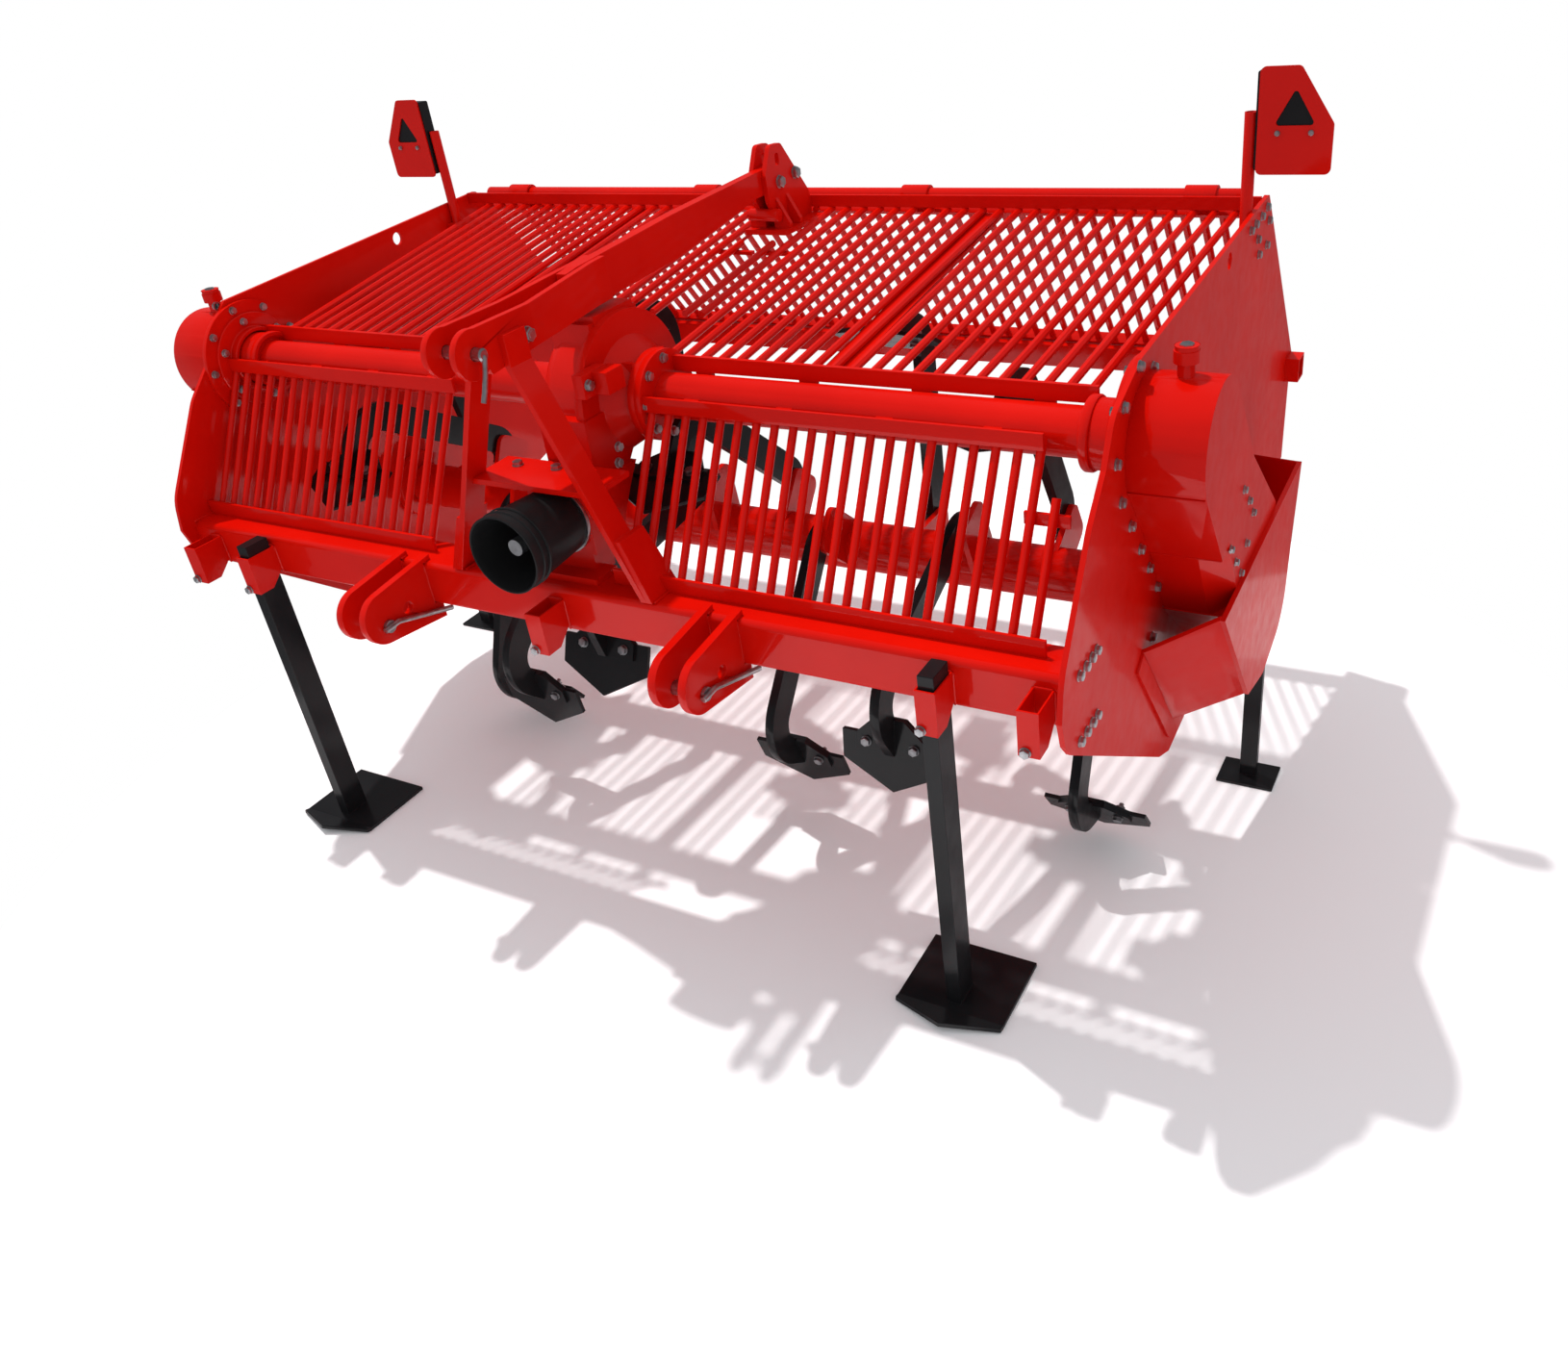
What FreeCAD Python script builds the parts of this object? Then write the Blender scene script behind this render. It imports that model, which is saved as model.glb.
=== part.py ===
import FreeCAD, Part
import math
import os
import re
import Sketcher

# Rotary spading machine for a tractor's three-point linkage, standing on its four stand legs.
# Millimetres and degrees.  X runs across the machine, Y runs backwards from the front face of the
# front beam, and Z runs up from the ground under the stand feet.  Every sub-part is then set
# forward by half the length, so that the origin lies on the ground under the machine's middle.

SIZES = {
    # side plates
    "inside_width": 2290,
    "plate_thickness": 10,
    "plate_top_front_y": 378,
    "plate_top_front_z": 1268,
    "plate_top_rear_y": 1210,
    "plate_top_rear_z": 1318,
    "plate_rear_y": 1592,
    "plate_rear_z": 843,
    "plate_heel_y": 1563,
    "plate_heel_z": 562,
    "plate_toe_y": 450,
    "plate_toe_z": 337,
    "plate_nose_y": -120,
    "plate_nose_z": 791,
    "plate_nose_bottom_z": 705,
    "plate_brow_y": 104,
    "plate_brow_z": 1139,
    "plate_corner_radius": 60,
    "left_nose_setback": 84,
    "sight_hole_y": 874,
    "sight_hole_z": 1265,
    "sight_hole_radius": 17,
    # front beam
    "beam_depth": 100,
    "beam_height": 100,
    "beam_bottom_z": 700,
    "beam_corner_radius": 14,
    # rear cross tube
    "rear_beam_size": 60,
    "rear_beam_wall": 5,
    "rear_beam_y": 1518,
    "rear_beam_z": 787,
    "rear_beam_overhang": 35,
    # sockets on the front beam and the legs that slide in them
    "socket_wall": 4,
    "socket_gap": 0.5,
    "socket_bottom_z": 680,
    "socket_height": 94,
    "socket_bevel": 34,
    "leg_spacing": 1774,
    "outer_socket_spacing": 2156,
    "leg_width": 32,
    "leg_depth": 62,
    "leg_height": 800,
    "leg_play": 4,
    "foot_width": 235,
    "foot_front_y": -92,
    "foot_rear_y": 96,
    "foot_thickness": 10,
    "foot_nose_length": 58,
    "foot_nose_shoulder": 14,
    "foot_nose_tilt": 16,
    "rear_leg_outset": 110,
    "rear_leg_y": 895,
    "rear_leg_width": 40,
    "rear_leg_depth": 20,
    "rear_leg_height": 560,
    "rear_pad_width": 135,
    "rear_pad_length": 98,
    "rear_pad_thickness": 8,
    "rear_socket_z": 446,
    "rear_socket_height": 74,
    # lower hitch clevises
    "hitch_spacing": 825,
    "hitch_gap": 50.8,
    "hitch_plate": 18,
    "hitch_nose_y": -135,
    "hitch_nose_z": 735,
    "hitch_nose_radius": 58,
    "hitch_pin_z": 715,
    "hitch_pin_diameter": 28.4,
    "pin_clearance": 0.3,
    "pin_overhang": 22,
    "hitch_lap": 22,
    "hitch_lap_below": 44,
    "hitch_lap_above": 12,
    "spare_hole_y": -73,
    "spare_hole_z": 727,
    "spare_hole_radius": 14,
    "handle_radius": 6,
    "handle_front": 20,
    "handle_bend": 20,
    "handle_length": 168,
    "handle_rise": 3,
    "handle_drop": 42,
    # cross shaft tubes between the gearbox and the side plates
    "shaft_y": 316,
    "shaft_z": 1112,
    "tube_radius": 47,
    "sleeve_radius": 64,
    "sleeve_length": 70,
    "end_flange_radius": 142,
    "end_flange_thickness": 12,
    "gearbox_right_x": 124,
    "gearbox_left_x": -91,
    "mid_flange_radius": 95,
    "mid_flange_thickness": 16,
    "gearbox_radius": 150,
    "gearbox_flange_radius": 172,
    "gearbox_cap_z": 1290,
    "gearbox_mouth_y": 70,
    "gearbox_mouth_width": 150,
    "tool_clearance": 6,
    # rotor
    "rotor_y": 705,
    "rotor_z": 600,
    "rotor_tube_radius": 60,
    "rotor_end_gap": 30,
    "journal_radius": 40,
    "journal_clearance": 0.1,
    "bearing_radius": 95,
    "bearing_thickness": 22,
    "tool_reach": 590,
    "arm_reach": 578,
    "arm_thickness": 22,
    "arm_width": 74,
    "arm_offset": 150,
    "arm_start": 85,
    "arm_root_radius": 55,
    "arm_bend_radius": 85,
    "arm_tip_width": 12,
    "foot_plate_width": 168,
    "foot_plate_thickness": 8,
    "bracket_thickness": 14,
    "bracket_reach": 165,
    "bracket_width": 110,
    "spade_width": 240,
    "spade_above": 62,
    "spade_crown": 70,
    "spade_wing": 15,
    "spade_shoulder": 56,
    "spade_point": 120,
    "spade_thickness": 10,
    "spade_lean": 60,
    "spade_seat": 85,
    # side cases and their guards
    "case_radius": 117,
    "case_depth": 135,
    "case_end_radius": 95,
    "case_bulge_y": 565,
    "case_bulge_z": 989,
    "case_hip_y": 806,
    "case_hip_z": 788,
    "case_bend_y": 352,
    "case_bend_z": 872,
    "case_knee_y": 452,
    "case_knee_z": 700,
    "case_bevel": 45,
    "breather_radius": 15,
    "breather_cap_radius": 20,
    "breather_height": 52,
    "guard_thickness": 10,
    "guard_nose_y": 351,
    "guard_nose_z": 750,
    "guard_foot_y": 605,
    "guard_foot_z": 430,
    "guard_tail_y": 1020,
    "guard_tail_z": 790,
    "guard_root_y": 307,
    "guard_root_z": 677,
    "guard_root_foot_y": 533,
    "guard_root_foot_z": 380,
    "guard_back_y": 1206,
    "guard_back_z": 716,
    "guard_back_depth": 120,
    # power take-off
    "pto_z": 925,
    "pto_end_y": -72,
    "pto_radius": 17.45,
    "cup_radius": 84,
    "cup_front_y": -109,
    "cup_rear_y": 62,
    "cup_rear_radius": 72,
    "cup_wall": 4,
    "shaft_shoulder_y": 8,
    "shaft_shoulder_radius": 25,
    "shaft_clearance": 0.1,
    # grilles
    "bar_radius": 8.5,
    "bar_pitch": 44,
    "rail_thickness": 10,
    "rail_height": 32,
    "top_rail_y": 357,
    "top_rail_z": 1152,
    "grille_lug_width": 40,
    "rear_rail_y": 1172,
    "rear_rail_z": 1292,
    "rear_rail_height": 28,
    "bar_front_z": 1176,
    "bar_end_gap": 99,
    "bar_spread": 1.044,
    "short_bar_y": 560,
    "grille_strap_x": 515,
    "grille_strap_width": 60,
    "grille_strap_thickness": 8,
    "top_grille_right_start": 114,
    "top_grille_left_end": -384,
    "lower_rail_y": 40,
    "lower_rail_height": 36,
    "front_rail_thickness": 8,
    "upper_rail_height": 27,
    "upper_rail_z": 1091,
    "front_grille_right_start": 122,
    "front_grille_right_gap": 80,
    "front_grille_left_end": -340,
    # rear tube, hood and reflectors
    "rear_tube_y": 1214,
    "rear_tube_z": 1310,
    "rear_tube_radius": 19,
    "rear_tube_left_end": 57,
    "rear_tube_right_end": 31,
    "hinge_sleeve_radius": 26,
    "hinge_sleeve_length": 72,
    "hinge_clearance": 0.3,
    "hinge_lug_thickness": 12,
    "hood_clearance": 6,
    "hood_angle": 52.4,
    "hood_rail_offset": 40,
    "hood_rest_gap": 0.3,
    "board_y": 1076,
    "board_top_z": 1591,
    "board_bottom_z": 1386,
    "board_inner_gap": 5,
    "board_outer_gap": 154,
    "board_side_z": 1482,
    "board_top_gap": 84,
    "board_thickness": 4,
    "lamp_depth": 32,
    "lamp_inset": 8,
    "post_radius": 13,
    "post_top_z": 1505,
    "post_lap": 90,
    # headstock
    "link_arm_gap": 56,
    "link_spacer_radius": 16,
    "link_spacer_back": 139,
    "link_spacer_drop": 7,
    "link_arm_thickness": 14,
    "brace_thickness": 14,
    "brace_width": 60,
    "brace_foot_x": 235,
    "brace_foot_x_left": 260,
    "brace_lean": 19,
    "brace_bend_z": 1279,
    "brace_top_z": 1340,
    "brace_foot_height": 130,
    "shelf_z": 1010,
    "shelf_thickness": 12,
    "shelf_left": 164,
    "shelf_right": 154,
    "shelf_front_y": 10,
    "shelf_rear_y": 130,
    "headstock_beam_width": 25,
    "headstock_beam_front_y": 230,
    "fork_bend_y": 80,
    "fork_join_y": 300,
    "fork_lap": 40,
    "headstock_pin_y": -82,
    "headstock_pin_z": 1325,
    "headstock_pin_diameter": 25,
    "tower_thickness": 12,
    "tower_front_y": 980,
    "tower_apex_y": 1037,
    "tower_apex_z": 1470,
    "tower_boss_radius": 15,
    "tower_foot_z": 1279,
    "tower_foot_half": 60,
    "tower_rib_height": 70,
}

doc = FreeCAD.newDocument("SpadingMachine")
sheet = doc.addObject("Spreadsheet::Sheet", "Sizes")
for row, (alias, number) in enumerate(SIZES.items(), start=1):
    sheet.set(f"A{row}", alias)
    sheet.set(f"B{row}", str(number))
    sheet.setAlias(f"B{row}", alias)
doc.recompute()
parts = []
Vector = FreeCAD.Vector
TURNED_TO = {
    "X": FreeCAD.Rotation(Vector(0, 1, 0), 90),
    "Y": FreeCAD.Rotation(Vector(1, 0, 0), -90),
    "Z": FreeCAD.Rotation(),
}
ACROSS_X = FreeCAD.Matrix(0, 0, 1, 0, 1, 0, 0, 0, 0, 1, 0, 0, 0, 0, 0, 1)
PLANE_ACROSS = {"X": "YZ_Plane", "Y": "XZ_Plane", "Z": "XY_Plane"}


def size(alias):
    """One driving size, read from the sheet."""
    return float(sheet.get(alias))


def formula(text):
    """Point the sizes named in a formula at the sheet."""
    def named(word):
        return f"Sizes.{word.group(0)}" if word.group(0) in SIZES else word.group(0)

    return re.sub(r"[a-z][a-z_]+", named, text)


def bind(item, **formulas):
    """Tie properties of an object to formulas; a double underscore stands for a dot."""
    for place, text in formulas.items():
        item.setExpression(place.replace("__", "."), formula(text))


def block(name, low, high):
    """A block between two corners, each given as three formulas."""
    item = doc.addObject("Part::Box", name)
    for side, axis, start, end in zip(("Length", "Width", "Height"), "xyz", low, high):
        item.setExpression(side, formula(f"({end}) - ({start})"))
        item.setExpression(f"Placement.Base.{axis}", formula(start))
    return item


def cut(name, base, tool):
    item = doc.addObject("Part::Cut", name)
    item.Base = base
    item.Tool = tool
    return item


def fused(name, *pieces):
    item = doc.addObject("Part::MultiFuse", name)
    item.Shapes = list(pieces)
    item.Refine = True
    return item


def side_by_side(name, *pieces):
    """Like pieces that share a node without touching."""
    item = doc.addObject("Part::Compound", name)
    item.Links = list(pieces)
    return item


def plate(name, across, start, thickness, outline, holes=(), rounded=()):
    """A flat plate across an axis: an outline of formula pairs, round holes as (u, v, radius), and
    corners to round as (index, radius)."""
    body = doc.addObject("PartDesign::Body", name)
    sketch = body.newObject("Sketcher::SketchObject", f"{name}_outline")
    plane = next(item for item in body.Origin.OriginFeatures if item.Role == PLANE_ACROSS[across])
    sketch.AttachmentSupport = [(plane, "")]
    sketch.MapMode = "FlatFace"
    flipped = across == "Y"
    sketch.setExpression("AttachmentOffset.Base.z", formula(f"-({start})" if flipped else start))
    count = len(outline)
    guess = [Vector(math.cos(2 * math.pi * i / count), math.sin(2 * math.pi * i / count), 0) for i in range(count)]
    for i in range(count):
        sketch.addGeometry(Part.LineSegment(guess[i], guess[(i + 1) % count]), False)
    for i in range(count):
        sketch.addConstraint(Sketcher.Constraint("Coincident", i, 2, (i + 1) % count, 1))
    points = [("DistanceX", "DistanceY", i, 1, pair) for i, pair in enumerate(outline)]
    for u, v, radius in holes:
        ring = sketch.addGeometry(Part.Circle(Vector(), Vector(0, 0, 1), 1), False)
        index = sketch.addConstraint(Sketcher.Constraint("Radius", ring, 1))
        sketch.setExpression(f"Constraints[{index}]", formula(radius))
        points.append(("DistanceX", "DistanceY", ring, 3, (u, v)))
    for kind_u, kind_v, geometry, end, pair in points:
        for kind, text in zip((kind_u, kind_v), pair):
            index = sketch.addConstraint(Sketcher.Constraint(kind, -1, 1, geometry, end, 1))
            sketch.setExpression(f"Constraints[{index}]", formula(text))
    pad = body.newObject("PartDesign::Pad", f"{name}_pad")
    pad.Profile = sketch
    pad.Reversed = flipped
    pad.setExpression("Length", formula(thickness))
    doc.recompute()
    last = pad
    for index, radius in rounded:
        corner = sketch.Placement.multVec(sketch.Geometry[index].StartPoint)
        along = sketch.Placement.Rotation.multVec(Vector(0, 0, 1))
        for number, edge in enumerate(last.Shape.Edges, start=1):
            straight = isinstance(edge.Curve, Part.Line)
            if straight and abs(abs(edge.Curve.Direction * along) - 1) < 1e-6:
                reach = (edge.Vertexes[0].Point - corner).cross(along).Length
                if reach < 1e-3:
                    fillet = body.newObject("PartDesign::Fillet", f"{name}_round{index}")
                    fillet.Base = (last, [f"Edge{number}"])
                    fillet.setExpression("Radius", formula(radius))
                    doc.recompute()
                    last = fillet
                    break
    return body


def ready_made(name, shape):
    """A piece whose shape comes straight from Part's functions."""
    item = doc.addObject("Part::Feature", name)
    item.Shape = Part.makeCompound([shape])
    return item


def box(low, high):
    """The solid of a block between two corners given as numbers."""
    return Part.makeBox(*[end - start for start, end in zip(low, high)], Vector(*low))


def revolved(axis, centre, profile):
    """The solid turned from (along, radius) pairs about an axis through a point."""
    corners = [Vector(radius, 0, along) for along, radius in profile]
    solid = Part.Face(Part.makePolygon(corners + corners[:1])).revolve(Vector(), Vector(0, 0, 1), 360)
    solid.Placement = FreeCAD.Placement(Vector(*centre), TURNED_TO[axis])
    return solid


def outline_wire(points):
    """A closed wire through (u, v) points; a point written (u, v, radius) is rounded."""
    corners = [Vector(point[0], point[1], 0) for point in points]
    edges = []
    ends = []
    for i, point in enumerate(points):
        here = corners[i]
        if len(point) == 2:
            ends.append((here, here))
            continue
        before = (corners[i - 1] - here).normalize()
        after = (corners[(i + 1) % len(points)] - here).normalize()
        half = before.getAngle(after) / 2
        reach = point[2] / math.tan(half)
        middle = here + (before + after).normalize() * (point[2] / math.sin(half) - point[2])
        ends.append((here + before * reach, here + after * reach))
        edges.append(Part.Arc(ends[-1][0], middle, ends[-1][1]).toShape())
    for i in range(len(points)):
        start = ends[i - 1][1]
        end = ends[i][0]
        if (end - start).Length > 1e-6:
            edges.append(Part.LineSegment(start, end).toShape())
    return Part.Wire(Part.__sortEdges__(edges))


def slab(points, across, start, thickness, holes=()):
    """The solid of a flat plate across X, from (y, z) numbers, or across Z, from (x, y) numbers."""
    rings = [Part.Wire(Part.makeCircle(radius, Vector(u, v, 0))) for u, v, radius in holes]
    face = Part.makeFace([outline_wire(points)] + rings, "Part::FaceMakerBullseye")
    solid = face.extrude(Vector(0, 0, thickness))
    solid.translate(Vector(0, 0, start))
    return solid.transformed(ACROSS_X) if across == "X" else solid


def sub_part(label, item):
    """Name a finished sub-part, and set it forward by half the machine's length."""
    if item.TypeId in ("Part::Box", "Part::Cylinder"):
        item = side_by_side(f"{label}_piece", item)
    item.Label = label
    bind(item, Placement__Base__y="-(plate_rear_y + hitch_nose_y - hitch_nose_radius) / 2")
    parts.append(item)
    return item


def mirrored(label, source):
    """The same sub-part on the other side of the machine."""
    item = doc.addObject("Part::Mirroring", label)
    item.Source = source
    item.Normal = Vector(1, 0, 0)
    item.Label = label
    parts.append(item)
    return item


# Front beam: a square tube between the side plates, rounded along its upper front edge.
sub_part("front_beam", plate(
    "front_beam", "X", "-inside_width / 2", "inside_width",
    [("0", "beam_bottom_z"), ("beam_depth", "beam_bottom_z"),
     ("beam_depth", "beam_bottom_z + beam_height"), ("0", "beam_bottom_z + beam_height")],
    rounded=[(3, "beam_corner_radius"), (0, "beam_corner_radius / 2")]))

# Rear cross tube: square, passes through both side plates and stands out a little beyond them.
rear_beam = block(
    "rear_beam_bar", ("-inside_width / 2 - plate_thickness - rear_beam_overhang", "rear_beam_y", "rear_beam_z"),
    ("inside_width / 2 + plate_thickness + rear_beam_overhang", "rear_beam_y + rear_beam_size",
     "rear_beam_z + rear_beam_size"))
rear_beam_bore = block(
    "rear_beam_bore", ("-inside_width / 2 - plate_thickness - rear_beam_overhang - 1",
                       "rear_beam_y + rear_beam_wall", "rear_beam_z + rear_beam_wall"),
    ("inside_width / 2 + plate_thickness + rear_beam_overhang + 1",
     "rear_beam_y + rear_beam_size - rear_beam_wall", "rear_beam_z + rear_beam_size - rear_beam_wall"))
sub_part("rear_beam", cut("rear_beam_tube", rear_beam, rear_beam_bore))


def side_plate(name, start, setback):
    """One side plate.  Its front edge is set back by a formula, and the rear cross tube passes through."""
    front = f" + {setback}"
    sheet_metal = plate(
        f"{name}_sheet", "X", start, "plate_thickness",
        [("plate_nose_y" + front, "plate_nose_z"), ("plate_nose_y + 15" + front, "plate_nose_bottom_z + 32"),
         ("plate_nose_y + 41" + front, "plate_nose_bottom_z"), ("plate_toe_y", "plate_toe_z"),
         ("plate_toe_y + 74", "plate_toe_z - 33"), ("plate_toe_y + 187", "plate_toe_z - 20"),
         ("plate_heel_y", "plate_heel_z"), ("plate_rear_y - 9", "plate_rear_z - 56"),
         ("plate_rear_y", "plate_rear_z"), ("plate_top_rear_y", "plate_top_rear_z"),
         ("plate_top_front_y", "plate_top_front_z"), ("plate_top_front_y - 88", "plate_top_front_z - 5"),
         ("plate_brow_y + 46" + front, "plate_brow_z + 76"), ("plate_brow_y" + front, "plate_brow_z"),
         ("plate_brow_y - 72" + front, "plate_brow_z - 69"), ("plate_nose_y + 13" + front, "plate_nose_z + 75")],
        holes=[("sight_hole_y", "sight_hole_z", "sight_hole_radius")],
        rounded=[(12, "plate_corner_radius"), (9, "plate_corner_radius / 4"), (3, "plate_corner_radius"),
                 (14, "plate_corner_radius * 2"), (15, "plate_corner_radius * 2")])
    return cut(f"{name}_notched", sheet_metal, block(
        f"{name}_tube_way", (start + " - 1", "rear_beam_y", "rear_beam_z"),
        (start + " + plate_thickness + 1", "rear_beam_y + rear_beam_size", "rear_beam_z + rear_beam_size")))


# Side plates: cut from heavy sheet.  The left one starts further back at the front.
sub_part("side_plate_right", side_plate("right", "inside_width / 2", "0"))
sub_part("side_plate_left", side_plate(
    "left", "-inside_width / 2 - plate_thickness", "left_nose_setback"))


def leg_socket(name, middle):
    """A short square tube welded to the beam's front face, bevelled below where it meets the beam."""
    half = "(leg_width / 2 + socket_gap + socket_wall)"
    depth = "(leg_depth + 2 * leg_play + 2 * socket_wall)"
    outside = plate(
        name, "X", f"{middle} - {half}", f"2 * {half}",
        [(f"-{depth}", "socket_bottom_z"), (f"-{depth} / 2", "socket_bottom_z"),
         ("0", "socket_bottom_z + socket_bevel"), ("0", "socket_bottom_z + socket_height"),
         (f"-{depth}", "socket_bottom_z + socket_height")])
    bore = block(
        f"{name}_bore", (f"{middle} - leg_width / 2 - socket_gap", f"socket_wall - {depth}", "socket_bottom_z - 1"),
        (f"{middle} + leg_width / 2 + socket_gap", "-socket_wall", "socket_bottom_z + socket_height + 1"))
    return cut(f"{name}_tube", outside, bore)


# Leg sockets: two hold the front legs, and the middle one and the outer ones are spare places for them.
sub_part("leg_sockets", side_by_side("leg_socket_row", *[
    leg_socket(f"leg_socket_{place}", middle) for place, middle in (
        ("far_left", "-outer_socket_spacing / 2"), ("left", "-leg_spacing / 2"), ("middle", "0"),
        ("right", "leg_spacing / 2"), ("far_right", "outer_socket_spacing / 2"))]))


def front_leg_shape():
    """The right front leg: a flat bar on a foot whose pointed nose is bent up like a ski's."""
    middle = size("leg_spacing") / 2
    back = -size("socket_wall") - size("leg_play")
    thick = size("foot_thickness")
    bar = Part.makeBox(size("leg_width"), size("leg_depth"), size("leg_height") - thick,
                       Vector(middle - size("leg_width") / 2, back - size("leg_depth"), thick))
    front = size("foot_front_y")
    half = size("foot_width") / 2
    shoulder = size("foot_nose_shoulder")
    sole = Part.makeBox(2 * half, size("foot_rear_y") - front, thick, Vector(middle - half, front, 0))
    nose = slab([(middle - half, 0), (middle + half, 0), (middle + half, -shoulder),
                 (middle, -size("foot_nose_length")), (middle - half, -shoulder)], "Z", 0, thick)
    nose.rotate(Vector(), Vector(1, 0, 0), -size("foot_nose_tilt"))
    nose.translate(Vector(0, front, 0))
    return bar.fuse([sole, nose]).removeSplitter()


# Front stand legs: each slides in its socket and is held there by a set bolt.
front_leg = sub_part("front_leg_right", ready_made("front_leg_shape", front_leg_shape()))
mirrored("front_leg_left", front_leg)

# Rear stand legs: a flat bar welded to a small square pad.
rear_leg_x = "inside_width / 2 + rear_leg_outset"
rear_leg = sub_part("rear_leg_right", fused(
    "rear_leg_right_welded",
    block("rear_leg_bar",
          (f"{rear_leg_x} - rear_leg_width / 2", "rear_leg_y - rear_leg_depth / 2", "rear_pad_thickness"),
          (f"{rear_leg_x} + rear_leg_width / 2", "rear_leg_y + rear_leg_depth / 2", "rear_leg_height")),
    block("rear_leg_pad",
          (f"{rear_leg_x} - rear_pad_width / 2", "rear_leg_y - rear_pad_length / 2", "0"),
          (f"{rear_leg_x} + rear_pad_width / 2", "rear_leg_y + rear_pad_length / 2",
           "rear_pad_thickness"))))
mirrored("rear_leg_left", rear_leg)

# Rear leg sockets: a short tube on an arm from the side plate, inside the guard.
rear_socket_outside = block(
    "rear_socket_outside",
    (f"{rear_leg_x} - rear_leg_width / 2 - socket_gap - socket_wall",
     "rear_leg_y - rear_leg_depth / 2 - socket_gap - socket_wall", "rear_socket_z"),
    (f"{rear_leg_x} + rear_leg_width / 2 + socket_gap + socket_wall",
     "rear_leg_y + rear_leg_depth / 2 + socket_gap + socket_wall", "rear_socket_z + rear_socket_height"))
rear_socket_arm = block(
    "rear_socket_arm", ("inside_width / 2 + plate_thickness", "rear_leg_y - rear_leg_depth / 2", "rear_socket_z"),
    (f"{rear_leg_x} - rear_leg_width / 2 - socket_gap - socket_wall / 2",
     "rear_leg_y + rear_leg_depth / 2", "rear_socket_z + rear_socket_height"))
rear_socket_bore = block(
    "rear_socket_bore",
    (f"{rear_leg_x} - rear_leg_width / 2 - socket_gap", "rear_leg_y - rear_leg_depth / 2 - socket_gap",
     "rear_socket_z - 1"),
    (f"{rear_leg_x} + rear_leg_width / 2 + socket_gap", "rear_leg_y + rear_leg_depth / 2 + socket_gap",
     "rear_socket_z + rear_socket_height + 1"))
rear_socket = sub_part("rear_leg_socket_right", cut(
    "rear_socket_tube", fused("rear_socket_welded", rear_socket_outside, rear_socket_arm), rear_socket_bore))
mirrored("rear_leg_socket_left", rear_socket)


def touch_point(y, z, centre_y, centre_z, radius, side):
    """Where the line from a point touches a circle, on the side given as +1 or -1."""
    reach = math.hypot(centre_y - y, centre_z - z)
    swing = math.atan2(centre_z - z, centre_y - y) + side * math.asin(radius / reach)
    along = math.sqrt(reach ** 2 - radius ** 2)
    return y + along * math.cos(swing), z + along * math.sin(swing)


def hitch_plate_pair():
    """The right clevis: two plates with a round nose, hooked over and under the beam."""
    nose = (size("hitch_nose_y"), size("hitch_nose_z"), size("hitch_nose_radius"))
    bottom = size("beam_bottom_z")
    top = bottom + size("beam_height")
    lap = size("hitch_lap")
    upper = (lap, top + size("hitch_lap_above"))
    lower = (lap, bottom - size("hitch_lap_below"))
    bore = size("hitch_pin_diameter") / 2 + size("pin_clearance")
    shapes = []
    for side in (-1, 1):
        middle = size("hitch_spacing") / 2 + side * (size("hitch_gap") + size("hitch_plate")) / 2
        start = middle - size("hitch_plate") / 2
        body = slab([upper, touch_point(*upper, *nose, -1), touch_point(*lower, *nose, 1), lower,
                     (lap, bottom), (0, bottom), (0, top), (lap, top)], "X", start, size("hitch_plate"))
        disc = Part.makeCylinder(nose[2], size("hitch_plate"), Vector(start, nose[0], nose[1]), Vector(1, 0, 0))
        drilled = body.fuse(disc).removeSplitter()
        for y, z, radius in ((nose[0], size("hitch_pin_z"), bore),
                             (size("spare_hole_y"), size("spare_hole_z"), size("spare_hole_radius"))):
            drilled = drilled.cut(Part.makeCylinder(radius, size("hitch_plate") + 2, Vector(start - 1, y, z),
                                                    Vector(1, 0, 0)))
        shapes.append(drilled)
    return Part.makeCompound(shapes)


# Lower hitch clevises: a pair of thick plates each side, for the tractor's lower links.
hitch = sub_part("hitch_plates_right", ready_made("hitch_plate_pair", hitch_plate_pair()))
mirrored("hitch_plates_left", hitch)


def hitch_pin(along_x, y, z, length, radius):
    """A pin along X with its bent handle lying across the outer end."""
    thick = size("handle_radius")
    end = along_x + length
    pin = Part.makeCylinder(radius, length, Vector(along_x, y, z), Vector(1, 0, 0))
    points = [Vector(end + thick / 2, y - size("handle_front"), z),
              Vector(end + thick / 2, y + size("handle_bend"), z + size("handle_rise")),
              Vector(end + thick / 2, y + size("handle_length"), z - size("handle_drop"))]
    pieces = [Part.makeSphere(thick, points[1])]
    for start, stop in zip(points, points[1:]):
        pieces.append(Part.makeCylinder(thick, (stop - start).Length, start, stop - start))
    return pin.fuse(pieces).removeSplitter()


# Lower hitch pins: one through each clevis, both put in from the right.
pin_length = size("hitch_gap") + 2 * size("hitch_plate") + size("pin_overhang") + size("handle_radius")
half_clevis = size("hitch_gap") / 2 + size("hitch_plate")
lower_pins = []
for clevis_x in (size("hitch_spacing") / 2, -size("hitch_spacing") / 2):
    lower_pins.append(hitch_pin(clevis_x - half_clevis - size("pin_overhang"), size("hitch_nose_y"),
                                size("hitch_pin_z"), pin_length, size("hitch_pin_diameter") / 2))
sub_part("hitch_pins", ready_made("lower_pins", Part.makeCompound(lower_pins)))

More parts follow.
